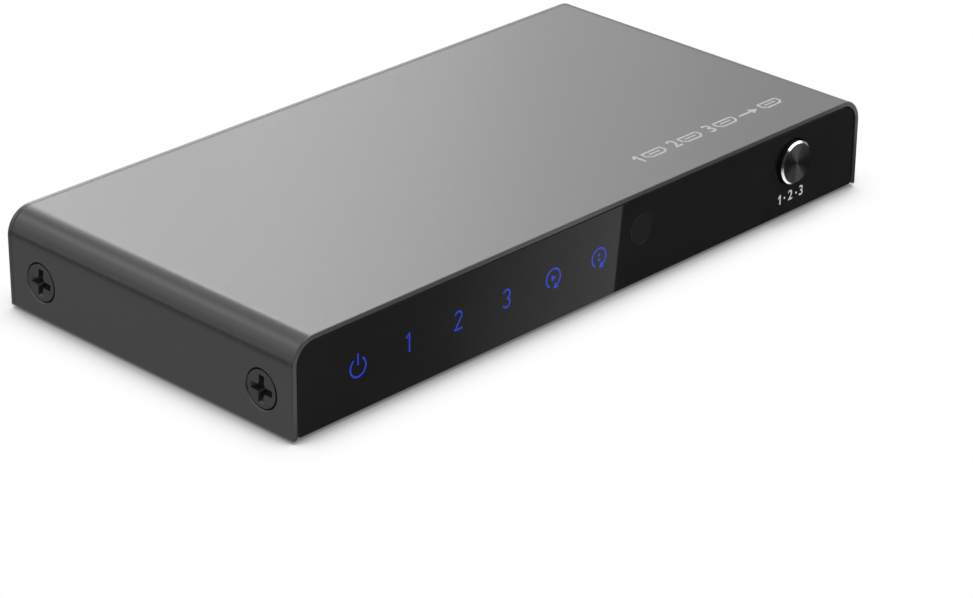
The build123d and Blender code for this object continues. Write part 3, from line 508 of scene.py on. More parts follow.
def grown(points, by):
    """A convex outline, listed anticlockwise, moved outwards by the same distance all round."""
    lines = []
    count = len(points)
    for i in range(count):
        a = Vector(points[i])
        along = (Vector(points[(i + 1) % count]) - a).normalized()
        lines.append((a + Vector((along.y, -along.x)) * by, along))
    moved = []
    for i in range(count):
        (p, u), (q, v) = lines[i - 1], lines[i]
        share = ((q - p).x * v.y - (q - p).y * v.x) / (u.x * v.y - u.y * v.x)
        moved.append(tuple(p + u * share))
    return moved


# Repeated parts

def node_in(tree, kind, inputs=None, **settings):
    """A new node in a tree, with these settings and input values."""
    node = tree.nodes.new(kind)
    for name, value in settings.items():
        setattr(node, name, value)
    for name, value in (inputs or {}).items():
        node.inputs[name].default_value = value
    return node


def wired(tree, *links):
    """Links nodes, each link from a node's output to another node's input."""
    for source, output, target, entry in links:
        tree.links.new(source.outputs[output], target.inputs[entry])


def repeat_tree(name, sockets):
    """A geometry tree with a part, its finish and these other inputs, ready for its points."""
    tree = bpy.data.node_groups.new(name, "GeometryNodeTree")
    kinds = {"Geometry": "NodeSocketGeometry", "Part": "NodeSocketObject",
             "Finish": "NodeSocketMaterial", **sockets}
    for label, kind in kinds.items():
        tree.interface.new_socket(label, in_out="INPUT", socket_type=kind)
    tree.interface.new_socket("Geometry", in_out="OUTPUT", socket_type="NodeSocketGeometry")
    source = node_in(tree, "NodeGroupInput")
    part = node_in(tree, "GeometryNodeObjectInfo")
    copies = node_in(tree, "GeometryNodeInstanceOnPoints")
    real = node_in(tree, "GeometryNodeRealizeInstances")
    coated = node_in(tree, "GeometryNodeSetMaterial")
    result = node_in(tree, "NodeGroupOutput")
    wired(tree, (source, "Part", part, "Object"), (part, "Geometry", copies, "Instance"),
          (copies, "Instances", real, "Geometry"), (real, "Geometry", coated, "Geometry"),
          (source, "Finish", coated, "Material"), (coated, "Geometry", result, "Geometry"))
    return tree, source, copies


def marks_tree():
    """Sets the part on each point of a mesh, turned as the point's own turn says."""
    tree, source, copies = repeat_tree("part_on_marks", {"Size": "NodeSocketFloat"})
    turn = node_in(tree, "GeometryNodeInputNamedAttribute", {"Name": "turn"},
                   data_type="FLOAT_VECTOR")
    wired(tree, (source, "Geometry", copies, "Points"), (source, "Size", copies, "Scale"),
          (turn, "Attribute", copies, "Rotation"))
    return tree


def row_tree():
    """Sets a number of parts in a row along X about a middle."""
    tree, source, copies = repeat_tree(
        "part_in_row", {"Count": "NodeSocketInt", "Pitch": "NodeSocketFloat",
                        "Middle": "NodeSocketVector"})
    row = node_in(tree, "GeometryNodeMeshLine", mode="OFFSET")
    step = node_in(tree, "ShaderNodeCombineXYZ")
    gaps = node_in(tree, "ShaderNodeMath", {1: -0.5, 2: 0.5}, operation="MULTIPLY_ADD")
    shift = node_in(tree, "ShaderNodeMath", operation="MULTIPLY")
    reach = node_in(tree, "ShaderNodeCombineXYZ")
    start = node_in(tree, "ShaderNodeVectorMath", operation="ADD")
    wired(tree, (source, "Count", gaps, 0), (gaps, 0, shift, 0), (source, "Pitch", shift, 1),
          (shift, 0, reach, "X"), (reach, "Vector", start, 0), (source, "Middle", start, 1),
          (source, "Pitch", step, "X"), (source, "Count", row, "Count"),
          (start, "Vector", row, "Start Location"), (step, "Vector", row, "Offset"),
          (row, "Mesh", copies, "Points"))
    return tree


def repeated(tree, part, coat, marks=(), **values):
    """The mesh that a geometry tree makes of a part, with its named inputs set.

    A mark is a place and a turn about each axis in degrees.
    """
    mesh = bpy.data.meshes.new("marks")
    mesh.from_pydata([at for at, _ in marks], [], [])
    turns = mesh.attributes.new("turn", "FLOAT_VECTOR", "POINT")
    for mark, (_, turn) in zip(turns.data, marks):
        mark.vector = [math.radians(a) for a in turn]
    holder = helper(mesh)
    tool = helper(part)
    modifier = holder.modifiers.new("repeat", "NODES")
    modifier.node_group = tree
    values.update(Part=tool, Finish=coat)
    for item in tree.interface.items_tree:
        if item.in_out == "INPUT" and item.name in values:
            modifier[item.identifier] = values[item.name]
    result = as_mesh(holder)
    bpy.data.objects.remove(tool)
    return result


# Pieces

def piece(name, mesh, body, coats, nodes=(), crease=CREASE):
    """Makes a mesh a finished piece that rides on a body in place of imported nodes."""
    welded(mesh, merge_flat=True)
    mesh.name = name
    mesh.transform(Matrix.Scale(MM, 4))
    if not mesh.materials:
        for coat in coats:
            mesh.materials.append(coat)
    mesh.shade_smooth()
    mesh.set_sharp_from_angle(angle=math.radians(crease))
    holder = helper(mesh)
    flat = holder.modifiers.new("flat faces", "WEIGHTED_NORMAL")
    flat.keep_sharp = True
    made = bpy.data.objects.new(name, as_mesh(holder))
    made.data.name = name
    bpy.context.scene.collection.objects.link(made)
    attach(made, body)
    if nodes:
        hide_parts(*nodes)
    return made


def countersink(side, y):
    """The cone that a screw's head lies in, cut through cover and tab."""
    tip = -CSK_DEEP - CSK_LAND
    edge = CSK_EDGE / 2
    wide = CSK_R + CSK_EDGE
    cone = turned([(0, tip), (CSK_R - CSK_DEEP, tip), (CSK_R, -CSK_LAND), (CSK_R, -CSK_EDGE),
                   (CSK_R + edge / 2, -edge), (wide, 0), (wide, PAST), (0, PAST)])
    turn = Matrix.Rotation(math.radians(90 * side), 4, "Y")
    return laid(cone, turn, (CASE_HALF_W * side, y, SCREW_Z))


def case_cover(paint):
    """The folded top and sides, with a countersink for each screw."""
    low, high = box_of("top_cover")
    inner_w = high.x - COVER_SHEET
    foot = [(high.x, low.z), (inner_w + LIP, low.z), (inner_w, low.z + LIP)]
    outline = over_top(high.x, high.z, BEND_R)
    outline += [(-x, z) for x, z in foot]
    outline += reversed(over_top(inner_w, high.z - COVER_SHEET, BEND_R - COVER_SHEET))
    outline += reversed(foot)
    cover = plate([outline], low.y, high.y, SHEET_EDGE)
    cover = cut(cover, *[countersink(side, y) for side in (-1, 1) for y in SCREW_YS])
    return piece("case_cover", cover, "case", [paint], ["top_cover"])


def screw_tab(side, y):
    """A tab of the tray with the collar of one cover screw."""
    half = TAB_W / 2
    outline = [(-half, CASE_FOOT), (half, CASE_FOOT)]
    outline += arc(half - TAB_CORNER, TAB_TOP - TAB_CORNER, TAB_CORNER, 0, 90, CORNER_STEPS)
    outline += arc(-half + TAB_CORNER, TAB_TOP - TAB_CORNER, TAB_CORNER, 90, 180, CORNER_STEPS)
    inside = side * (TRAY_HALF_W - SHEET / 2)
    turn = Matrix.Rotation(math.radians(-90 * side), 4, "Y")
    sheet = laid(drawn([outline], SHEET), ON_SIDE, (inside, y, 0))
    collar = laid(rod(COLLAR_R, 0, COLLAR_LEN + SHEET / 2), turn, (inside, y, SCREW_Z))
    hole = laid(rod(THREAD_R, -PAST, COLLAR_LEN + 2 * PAST), turn,
                (side * TRAY_HALF_W, y, SCREW_Z))
    return cut(joined(sheet, collar), hole, countersink(side, y))


def mouth(grow=0.0):
    """The outline of a video socket's mouth about its middle, square above, narrow below."""
    top = MOUTH_H / 2
    knee = top - MOUTH_SIDE_H
    half = MOUTH_W / 2
    foot = MOUTH_FOOT_W / 2
    points = [(-foot, -top), (foot, -top), (half, knee), (half, top), (-half, top),
              (-half, knee)]
    return rounded(grown(points, grow), MOUTH_CORNER + grow)


def port_cut(port):
    """The corners of a video socket's cut-out in the rear wall."""
    x = middle(port + "_shell").x
    half_w = MOUTH_W / 2 + SHELL_T + PORT_ROOM
    half_h = MOUTH_H / 2 + SHELL_T + PORT_ROOM
    return rectangle(x - half_w, PORT_Z - half_h, x + half_w, PORT_Z + half_h)


def tray_floor(low, high):
    """The tray's floor with its bend up into the front wall, drawn from the side."""
    inner = TRAY_BEND - SHEET / 2
    face = low.y + SHEET
    end = high.y - SHEET / 2
    strip = arc(low.y + TRAY_BEND, low.z + TRAY_BEND, TRAY_BEND, 180, 270, CORNER_STEPS)
    strip += [(end, low.z), (end, low.z + SHEET)]
    strip += [(face + inner, low.z + SHEET), (face, low.z + SHEET + inner)]
    strip += [(face, low.z + 2 * SHEET), (low.y, low.z + 2 * SHEET)]
    return laid(drawn([strip], 2 * TRAY_HALF_W), ON_SIDE, (0, 0, 0))


def tray_holes(front):
    """What is cut out for the standoffs, and in the front wall for what stands in it."""
    holes = [laid(rod(SPIGOT_R, -PAST, 3 * PAST), ON_TOP, (side * STANDOFF_X, y, 0))
             for side in (-1, 1) for y in STANDOFF_YS]
    start = front - PAST
    end = front + 2 * PAST
    for icon in ICONS:
        low, high = box_of("light_guide_" + icon)
        holes.append(block((low.x - HOLE_ROOM, start, low.z - HOLE_ROOM),
                           (high.x + HOLE_ROOM, end, high.z + HOLE_ROOM)))
    holes.append(plate([circle(WINDOW_X, WINDOW_Z, WINDOW_FLANGE_R)], start, end))
    holes.append(plate([circle(BUTTON_X, BUTTON_Z, BUTTON_HOLE_R + HOLE_ROOM)], start, end))
    return holes


def case_tray(paint):
    """Floor, front wall and rear wall of one folded sheet, with four screw tabs."""
    low, high = box_of("bottom_tray")
    cuts = [port_cut(port) for port in PORTS]
    cuts.append(circle(JACK_X, JACK_Z, JACK_NOSE_R + PORT_ROOM))
    rear = plate([arch(high.x, low.z, high.z, BEND_R)] + cuts, TRAY_BACK, high.y, SHEET_EDGE)
    front = plate([arch(TRAY_HALF_W, low.z + TRAY_BEND, high.z - SHEET - TRAY_GAP,
                        BEND_R - SHEET - TRAY_GAP)], low.y, low.y + SHEET)
    tabs = [screw_tab(side, y) for side in (-1, 1) for y in SCREW_YS]
    tray = joined(tray_floor(low, high), front, rear, *tabs)
    tray = cut(tray, *tray_holes(low.y))
    piece("case_tray", tray, "case", [paint], ["bottom_tray"])


def icon_cutter(icon):
    """A light guide's shape, drawn out past the front so that it cuts right through."""
    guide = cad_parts["light_guide_" + icon].data.copy()
    guide.materials.clear()
    guide.transform(Matrix.Scale(1 / MM, 4))
    for vertex in guide.vertices:
        if vertex.co.y < FASCIA_FACE + ICON_FACE:
            vertex.co.y -= ICON_REACH
    return welded(guide)


def fascia_plate(gloss):
    """The black front plate, cut by the light guides, the window and the button."""
    low, high = box_of("front_fascia")
    outline = arch(high.x - FASCIA_INSET + FASCIA_SHIFT, low.z - FASCIA_DROP,
                   high.z - FASCIA_INSET, BEND_R - SHEET - FASCIA_GAP - FASCIA_INSET,
                   FASCIA_FOOT_RS)
    outline = [(x + FASCIA_SHIFT, z) for x, z in outline]
    holes = [circle(WINDOW_X, WINDOW_Z, WINDOW_R + WINDOW_HOLE_GAP),
             circle(BUTTON_X, BUTTON_Z, BUTTON_HOLE_R)]
    made = plate([outline] + holes, low.y, high.y, FASCIA_EDGE)
    made = cut(made, *[icon_cutter(icon) for icon in ICONS])
    piece("fascia_plate", made, "case", [gloss], ["front_fascia"])


def remote_window(tint):
    """The dark lens with its flange behind the fascia."""
    low, high = box_of("ir_window")
    length = high.y - low.y
    edge = [(WINDOW_R - inwards, length - back) for inwards, back in WINDOW_EDGE]
    lens = turned([(0, 0), (WINDOW_FLANGE_R, 0), (WINDOW_FLANGE_R, WINDOW_FLANGE_T),
                   (WINDOW_R, WINDOW_FLANGE_T)] + edge + [(0, length)])
    laid(lens, ON_FRONT, (WINDOW_X, high.y, WINDOW_Z))
    piece("remote_window", lens, "case", [tint], ["ir_window"])


def push_button(face, ring, side):
    """The turned cap: spun face, bright cut chamfer, black side, hollow behind."""
    low, high = box_of("select_button_cap")
    length = high.y - low.y
    rim = BUTTON_R - BUTTON_CHAMFER
    profile = [(0, 0), (rim, 0), (BUTTON_R, -BUTTON_CHAMFER), (BUTTON_R, -length),
               (BUTTON_SOCKET_R, -length), (BUTTON_SOCKET_R, -BUTTON_SKIN), (0, -BUTTON_SKIN)]
    cap = turned(profile, steps=BUTTON_STEPS)
    # The first step is the face and the second the chamfer; the rest share a finish.
    for polygon in cap.polygons:
        polygon.material_index = min(polygon.material_index, 2)
    laid(cap, ON_FRONT, (BUTTON_X, low.y, BUTTON_Z))
    return piece("push_button", cap, "button", [face, ring, side],
                 ["select_button_cap"], crease=BUTTON_CREASE)


def slot_cutter(turn):
    """The cutter of one slot of a cross recess, narrower at the bottom, turned in degrees."""
    bm = bmesh.new()
    for z, (length, width) in ((SLOT_ABOVE, SLOT_TOP), (-SLOT_DEEP, SLOT_FOOT)):
        for x in (-length / 2, length / 2):
            for y in (-width / 2, width / 2):
                bm.verts.new((x, y, z))
    bmesh.ops.convex_hull(bm, input=bm.verts)
    mesh = to_mesh(bm)
    mesh.transform(Matrix.Rotation(math.radians(turn), 4, "Z"))
    return mesh


def screw():
    """A countersunk screw with a cross recess, its head up."""
    head = CSK_R - HEAD_GAP
    land = CSK_LAND - HEAD_SINK
    body = turned([(0, -SCREW_LEN), (SCREW_R - SCREW_END, -SCREW_LEN),
                   (SCREW_R, SCREW_END - SCREW_LEN), (SCREW_R, -head + SCREW_R - land),
                   (head, -land), (head, -HEAD_EDGE), (head - HEAD_EDGE, 0), (0, 0)])
    core = turned(SLOT_CORE, steps=SLOT_CORE_STEPS)
    return cut(body, slot_cutter(0), slot_cutter(90), core)


def cover_screws(tree, zinc):
    """Four screws in the cover's sides, each turned as it was driven."""
    x = CASE_HALF_W - HEAD_SINK
    marks = [((side * x, y, SCREW_Z), (90, turn, 90 * side))
             for side, turns in SCREW_TURNS for y, turn in zip(SCREW_YS, turns)]
    screws = repeated(tree, screw(), zinc, marks, Size=1.0)
    piece("cover_screws_cut", screws, "case", [zinc], ["cover_screws"])


def feet(tree, rubber):
    """Four round rubber feet."""
    names = ["foot_" + a + "_" + b for a in ("front", "back") for b in ("left", "right")]
    low, high = box_of(names[0])
    radius = (high.x - low.x) / 2
    edge = [(radius - inwards, up) for inwards, up in FOOT_EDGE]
    pad = turned([(0, 0)] + edge + [(radius, high.z), (0, high.z)])
    marks = [((middle(name).x, middle(name).y, 0), (0, 0, 0)) for name in names]
    mesh = repeated(tree, pad, rubber, marks, Size=1.0)
    piece("rubber_feet", mesh, "case", [rubber], names)


def leaf():
    """A contact spring of a socket's shell, bowed down from z = 0 into the mouth."""
    section = rectangle(-LEAF_HALF_W, LEAF_SUNK, LEAF_HALF_W, -LEAF_T)
    bm = bmesh.new()
    rows = []
    for i in range(LEAF_STEPS + 1):
        share = i / LEAF_STEPS
        dip = -LEAF_BOW * math.sin(math.pi * share) ** 2
        rows.append([bm.verts.new((x, -LEAF_LEN * share, dip + z)) for x, z in section])
    for a, b in zip(rows, rows[1:]):
        for k in range(4):
            bm.faces.new((a[k], a[(k + 1) % 4], b[(k + 1) % 4], b[k]))
    bm.faces.new(rows[0])
    bm.faces.new(rows[-1][::-1])
    return to_mesh(bm)


def socket_legs(x, back, foot):
    """The four legs of a socket's shell, down through the board."""
    legs = []
    for side in (-1, 1):
        for y in (back + LEG_INSET, BOARD_BACK - LEG_INSET):
            at = x + side * (MOUTH_W + SHELL_T) / 2
            legs.append(block((at - SHELL_T / 2, y - LEG_W / 2, foot),
                              (at + SHELL_T / 2, y + LEG_W / 2, PORT_Z)))
    return legs


def socket_can(port, tree, x, steel):
    """A socket's plated shell with its legs and its four springs."""
    low, high = box_of(port + "_shell")
    shell = plate([mouth(SHELL_T), mouth()], 0, high.y - low.y, SHELL_EDGE)
    laid(shell, ON_TOP, (x, low.y, PORT_Z))
    shell = joined(shell, *socket_legs(x, low.y, low.z))
    spots = [((x + side * out, high.y - LEAF_SET_BACK, PORT_Z + row * MOUTH_H / 2),
              (0, turn, 0)) for row, out, turn in LEAF_ROWS for side in (-1, 1)]
    springs = repeated(tree, leaf(), steel, spots, Size=1.0)
    piece(port + "_can", gathered([shell, springs]), "case", [steel],
          [port + "_shell"])


def socket_tongue(port, x, back, end, plastic):
    """The black block in a socket, with the tongue that carries its contacts."""
    core = laid(plate([mouth(-CORE_GAP)], 0, CORE_LEN), ON_TOP, (x, back, PORT_Z))
    half = TONGUE_T / 2
    tongue = block((x - TONGUE_W / 2, back + CORE_LEN - PAST, TONGUE_Z - half),
                   (x + TONGUE_W / 2, end, TONGUE_Z + half), TONGUE_EDGE)
    piece(port + "_tongue", joined(core, tongue), "case", [plastic],
          [port + "_insulator"])


def contact(back, front, z):
    """A gilt strip with its tail down to the board."""
    half = CONTACT_W / 2
    strip = block((-half, back, z), (half, front, z + CONTACT_T), CONTACT_EDGE)
    tail = block((-half, back, BOARD_TOP), (half, back + CONTACT_T, z + CONTACT_T / 2))
    return joined(strip, tail)


def socket_contacts(port, tree, x, back, end, gilt):
    """A row of gilt contacts on a tongue and another under it."""
    rows = []
    for count, z, tail in CONTACT_ROWS:
        strip = contact(back - tail, end - CONTACT_SET_BACK, z)
        rows.append(repeated(tree, strip, gilt, Count=count, Pitch=CONTACT_PITCH,
                             Middle=(x, 0, 0)))
    piece(port + "_strips", gathered(rows), "case", [gilt], [port + "_contacts"])


def video_socket(port, on_marks, in_row, steel, plastic, gilt):
    """A socket's shell with its springs, the tongue inside it, and nineteen contacts."""
    low, high = box_of(port + "_shell")
    x = (low.x + high.x) / 2
    end = high.y - TONGUE_SET_BACK
    socket_can(port, on_marks, x, steel)
    socket_tongue(port, x, low.y, end, plastic)
    socket_contacts(port, in_row, x, low.y, end, gilt)


def power_jack(plastic):
    """The jack's housing, its round nose through the rear wall, and its bore."""
    low, high = box_of("jack_housing")
    nose_start = high.y - JACK_NOSE_LEN
    body = block(low, (high.x, nose_start, high.z), JACK_EDGE)
    reach = JACK_NOSE_LEN + PAST
    nose = turned([(0, 0), (JACK_NOSE_R, 0), (JACK_NOSE_R, reach - JACK_NOSE_EDGE),
                   (JACK_NOSE_R - JACK_NOSE_EDGE, reach), (0, reach)])
    laid(nose, ON_BACK, (JACK_X, nose_start - PAST, JACK_Z))
    floor = (JACK_X, high.y - JACK_BORE_LEN, JACK_Z)
    wide = JACK_BORE_R + JACK_FLARE
    bore = turned([(0, 0), (JACK_BORE_R, 0), (JACK_BORE_R, JACK_BORE_LEN - JACK_FLARE),
                   (wide, JACK_BORE_LEN), (wide, JACK_BORE_LEN + PAST),
                   (0, JACK_BORE_LEN + PAST)])
    laid(bore, ON_BACK, floor)
    root = laid(rod(JACK_ROOT_R, -JACK_ROOT_LEN, PAST), ON_BACK, floor)
    spring_low, spring_high = box_of("jack_spring")
    half = JACK_SLOT_H / 2
    slot = block((JACK_X + JACK_BORE_R - JACK_SLOT_IN, spring_low.y, JACK_Z - half),
                 (high.x + PAST, spring_high.y, JACK_Z + half))
    body = cut(joined(body, nose), bore, root, slot)
    piece("power_jack", body, "case", [plastic], ["jack_housing"])


# Printed marks

def drawing(x, *outlines):
    """A flat printed shape, moved along its row."""
    return laid(drawn(outlines, PRINT_T), ON_TOP, (x, 0, 0))


def figure_one(size, bold):
    """The outline of a plain 1 with a short flag."""
    half = 0.35 * size
    stroke = 0.1 * size + 2 * bold
    right = 0.06 * size + stroke / 2
    left = right - stroke
    tip = left - 0.15 * size
    return [(left, -half), (right, -half), (right, half), (left + 0.02 * size, half),
            (tip, half - 0.16 * size), (tip, half - 0.16 * size - 1.2 * stroke),
            (left, half - 1.35 * stroke)]


def number(text, size, x, bold=0.0):
    """A printed figure as a flat mesh, centred in its row."""
    if text == "1":
        return drawing(x, figure_one(size, bold))
    line = bpy.data.curves.new("figure", "FONT")
    line.body = text
    line.size = size
    line.offset = bold
    line.extrude = PRINT_T / 2
    line.align_x = "CENTER"
    line.align_y = "CENTER"
    return laid(as_mesh(helper(line)), ON_TOP, (x, 0, 0))


def scaled(points, scale):
    """An outline made larger or smaller about its middle."""
    return [(x * scale, y * scale) for x, y in points]


def socket_mark(x, scale):
    """A small drawing of a socket's mouth with its tongue."""
    outer, inner = (scaled(mouth(grow), scale) for grow in MARK_RIM)
    half, foot, top = (share * MOUTH_W for share in MARK_TONGUE)
    tongue = scaled(rectangle(-half, foot, half, top), scale)
    return gathered([drawing(x, outer, inner), drawing(x, tongue)])


def arrow(x, length, size, width):
    """A printed arrow that points along +x."""
    half = width / 2
    tip = length / 2
    neck = tip - size
    wing = size / 1.6
    return drawing(x, [(-tip, -half), (neck, -half), (neck, -wing), (tip, 0), (neck, wing),
                       (neck, half), (-tip, half)])


def line_mark(x0, x1, width):
    """A printed line along the row."""
    return drawing(0, rectangle(x0, -width / 2, x1, width / 2))


def ring_mark(x, outer, inner):
    """A printed ring."""
    return drawing(0, circle(x, 0, outer, RING_STEPS), circle(x, 0, inner, RING_STEPS))


def polarity_marks(x):
    """A plug's ring and pin, with lines to a minus and a plus."""
    marks = [ring_mark(x, *PLUG_RING), drawing(0, circle(x, 0, PLUG_PIN_R, DOT_STEPS))]
    for side in (-1, 1):
        pole = x + side * POLE_X
        marks.append(ring_mark(pole, *POLE_RING))
        marks.append(line_mark(pole - POLE_SIGN, pole + POLE_SIGN, POLE_STROKE))
        marks.append(line_mark(*sorted(x + side * end for end in POLE_WIRE), POLE_WIRE_W))
    half = POLE_STROKE / 2
    for foot, top in ((PLUS_GAP, POLE_SIGN), (-POLE_SIGN, -PLUS_GAP)):
        marks.append(drawing(x + POLE_X, rectangle(-half, foot, half, top)))
    return marks


def printed(name, marks, turn, at, ink):
    """A row of marks laid on the case as one piece."""
    mesh = laid(gathered(marks), turn, at)
    piece(name, mesh, "case", [ink])


def top_print(ink):
    """Three numbered sockets that lead to one, along the front of the top."""
    marks = []
    for i, x in enumerate(TOP_NUMBER_XS):
        marks.append(number(str(i + 1), TOP_NUMBER_SIZE, x, bold=0.07))
        marks.append(socket_mark(x + TOP_MARK_STEP, TOP_MARK_SCALE))
    marks.append(arrow(TOP_ARROW_X, length=4.6, size=1.6, width=0.5))
    marks.append(socket_mark(TOP_OUT_X, TOP_MARK_SCALE))
    printed("top_print", marks, ON_TOP, (*TOP_PRINT_AT, CASE_TOP), ink)


def front_print(ink):
    """The sources that the button steps through."""
    marks = [number(str(i + 1), FRONT_NUMBER_SIZE, x, bold=0.03)
             for i, x in enumerate((-FRONT_STEP, 0, FRONT_STEP))]
    marks += [drawing(x, circle(0, 0, FRONT_DOT_R, DOT_STEPS))
              for x in (-FRONT_DOT_X, FRONT_DOT_X)]
    printed("front_print", marks, ON_FRONT, (BUTTON_X, FASCIA_FACE, FRONT_PRINT_Z), ink)


def back_print(ink):
    """A number or an arrow over each socket, and the plug's polarity over the jack."""
    marks = []
    for i, port in enumerate(PORTS):
        x = -middle(port + "_shell").x
        if port == "video_out":
            marks.append(arrow(x, length=4.4, size=1.3, width=0.3))
        else:
            marks.append(number(str(i + 1), BACK_NUMBER_SIZE, x))
    marks += polarity_marks(-JACK_X)
    back = box_of("bottom_tray")[1].y
    printed("back_print", marks, ON_BACK, (0, back, BACK_PRINT_Z), ink)


# Finishes

def shaded(name, color, values):
    """A material with its shader's plain values set, and its tree, shader and coordinates."""
    material = bpy.data.materials.new(name)
    material.use_nodes = True
    tree = material.node_tree
    shader = tree.nodes["Principled BSDF"]
    shader.inputs["Base Color"].default_value = (*color, 1)
    for label, value in values.items():
        shader.inputs[label].default_value = value
    return material, tree, shader, node_in(tree, "ShaderNodeTexCoord")


def noise(tree, place, size, detail=3.0):
    """Noise with grains of a size in millimetres."""
    grains = node_in(tree, "ShaderNodeTexNoise", {"Scale": 1 / (size * MM), "Detail": detail})
    wired(tree, (place, "Object", grains, "Vector"))
    return grains


def spanned(tree, source, output, span, low, high):
    """The span of a node's output, stretched to reach from low to high."""
    start, end = span
    scale = node_in(tree, "ShaderNodeMapRange", {"From Min": start, "From Max": end,
                                                 "To Min": low, "To Max": high})
    wired(tree, (source, output, scale, "Value"))
    return scale


def tone(tree, shader, pattern, color, spread):
    """Lets the colour vary about its mean with a pattern."""
    ramp = node_in(tree, "ShaderNodeValToRGB")
    for stop, at, change in zip(ramp.color_ramp.elements, NOISE_SPAN, (-spread, spread)):
        stop.position = at
        stop.color = (*[min(1, c * (1 + change)) for c in color], 1)
    wired(tree, (pattern, "Fac", ramp, "Fac"), (ramp, "Color", shader, "Base Color"))


def wear(tree, shader, pattern, low, high):
    """Lets the roughness vary between two values with a pattern."""
    scale = spanned(tree, pattern, "Fac", NOISE_SPAN, low, high)
    wired(tree, (scale, "Result", shader, "Roughness"))


def relief(tree, shader, pattern, height):
    """Raises the surface with a pattern by a height in millimetres."""
    bump = node_in(tree, "ShaderNodeBump", {"Strength": 1.0, "Distance": height * MM})
    wired(tree, (pattern, "Fac", bump, "Height"), (bump, "Normal", shader, "Normal"))


def finish(name, color, rough, grain=0.3, spread=0.08, height=0.004, **values):
    """A plain finish: noise in its colour, and fine noise in its roughness and relief."""
    labels = {label.replace("_", " "): value for label, value in values.items()}
    material, tree, shader, place = shaded(name, color, labels)
    fine = noise(tree, place, grain)
    broad = noise(tree, place, BROAD_GRAIN)
    tone(tree, shader, broad, color, spread)
    wear(tree, shader, fine, *rough)
    relief(tree, shader, fine, height)
    return material


def case_paint():
    """Satin metallic paint: fine flakes, a faint orange peel."""
    color = (0.2, 0.2, 0.204)
    material, tree, shader, place = shaded("case_paint", color, {"Metallic": 0.85})
    flakes = noise(tree, place, size=0.12, detail=2)
    peel = noise(tree, place, size=1.4, detail=1)
    tone(tree, shader, flakes, color, spread=0.04)
    wear(tree, shader, peel, 0.25, 0.27)
    relief(tree, shader, flakes, height=0.0005)
    return material


def fascia_gloss():
    """Polished black acrylic, with a trace of handling."""
    color = (0.0147, 0.0147, 0.0149)
    material, tree, shader, place = shaded("fascia_gloss", color, {"IOR": 1.49})
    broad = noise(tree, place, size=9, detail=2)
    tone(tree, shader, broad, color, spread=0.1)
    wear(tree, shader, broad, 0.015, 0.025)
    relief(tree, shader, noise(tree, place, size=22, detail=1), height=0.002)
    return material


def icon_glow():
    """Clear light guide that shines blue where its icon meets the front."""
    material, tree, shader, place = shaded("icon_glow", (0.01, 0.01, 0.03), {"Roughness": 0.3})
    split = node_in(tree, "ShaderNodeSeparateXYZ")
    cloud = noise(tree, place, size=1.6, detail=1)
    power = node_in(tree, "ShaderNodeMath", operation="MULTIPLY")
    fade = [FASCIA_FACE * MM + depth * MM for depth in GLOW_FADE]
    shader.inputs["Emission Color"].default_value = (*ICON_BLUE, 1)
    lit = spanned(tree, split, "Y", fade, 1, 0)
    uneven = spanned(tree, cloud, "Fac", NOISE_SPAN, *GLOW_CLOUD)
    wired(tree, (place, "Object", split, "Vector"), (lit, "Result", power, 0),
          (uneven, "Result", power, 1), (power, 0, shader, "Emission Strength"))
    wear(tree, shader, cloud, 0.25, 0.35)
    return material


def spun(name, color, rough, anisotropy):
    """Metal turned on a lathe, with fine rings about the button's axis."""
    material, tree, shader, place = shaded(
        name, color, {"Metallic": 1, "Anisotropic": anisotropy, "Anisotropic Rotation": 0.25})
    centre = node_in(tree, "ShaderNodeMapping",
                     {"Location": (-BUTTON_X * MM, 0, -BUTTON_Z * MM)})
    flat = node_in(tree, "ShaderNodeVectorMath", {1: (1, 0, 1)}, operation="MULTIPLY")
    radius = node_in(tree, "ShaderNodeVectorMath", operation="LENGTH")
    around = node_in(tree, "ShaderNodeTangent", direction_type="RADIAL", axis="Y")
    rings = node_in(tree, "ShaderNodeTexNoise", {"W": 0, "Scale": 1 / (RING_GRAIN * MM),
                                                 "Detail": 2}, noise_dimensions="1D")
    wired(tree, (place, "Object", centre, "Vector"), (centre, "Vector", flat, 0),
          (flat, "Vector", radius, 0), (radius, "Value", rings, "W"),
          (around, "Tangent", shader, "Tangent"))
    tone(tree, shader, rings, color, spread=0.12)
    wear(tree, shader, rings, *rough)
    relief(tree, shader, rings, height=0.002)
    return material


def board_mask():
    """Green solder mask with darker runs of copper under it."""
    color = (0.02, 0.16, 0.07)
    material, tree, shader, place = shaded("board_mask", color, {"Coat Weight": 0.3})
    runs = node_in(tree, "ShaderNodeTexBrick", {"Scale": 90, "Mortar Size": 0.012})
    greens = node_in(tree, "ShaderNodeMixRGB", {"Color1": (0.018, 0.15, 0.065, 1),
                                                "Color2": (0.03, 0.2, 0.09, 1)})
    wired(tree, (place, "Object", runs, "Vector"), (runs, "Fac", greens, "Fac"),
          (greens, "Color", shader, "Base Color"))
    wear(tree, shader, noise(tree, place, size=2), 0.25, 0.4)
    relief(tree, shader, runs, height=0.03)
    return material


def dressed(finishes):
    """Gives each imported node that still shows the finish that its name's start asks for."""
    for name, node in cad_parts.items():
        for start, material in finishes.items():
            if name.startswith(start):
                for place in node.material_slots:
                    place.material = material


# Stage

def bare(name):
    """A material with nothing on its surface yet, its tree and its output."""
    material = bpy.data.materials.new(name)
    material.use_nodes = True
    tree = material.node_tree
    tree.nodes.remove(tree.nodes["Principled BSDF"])
    return material, tree, tree.nodes["Material Output"]


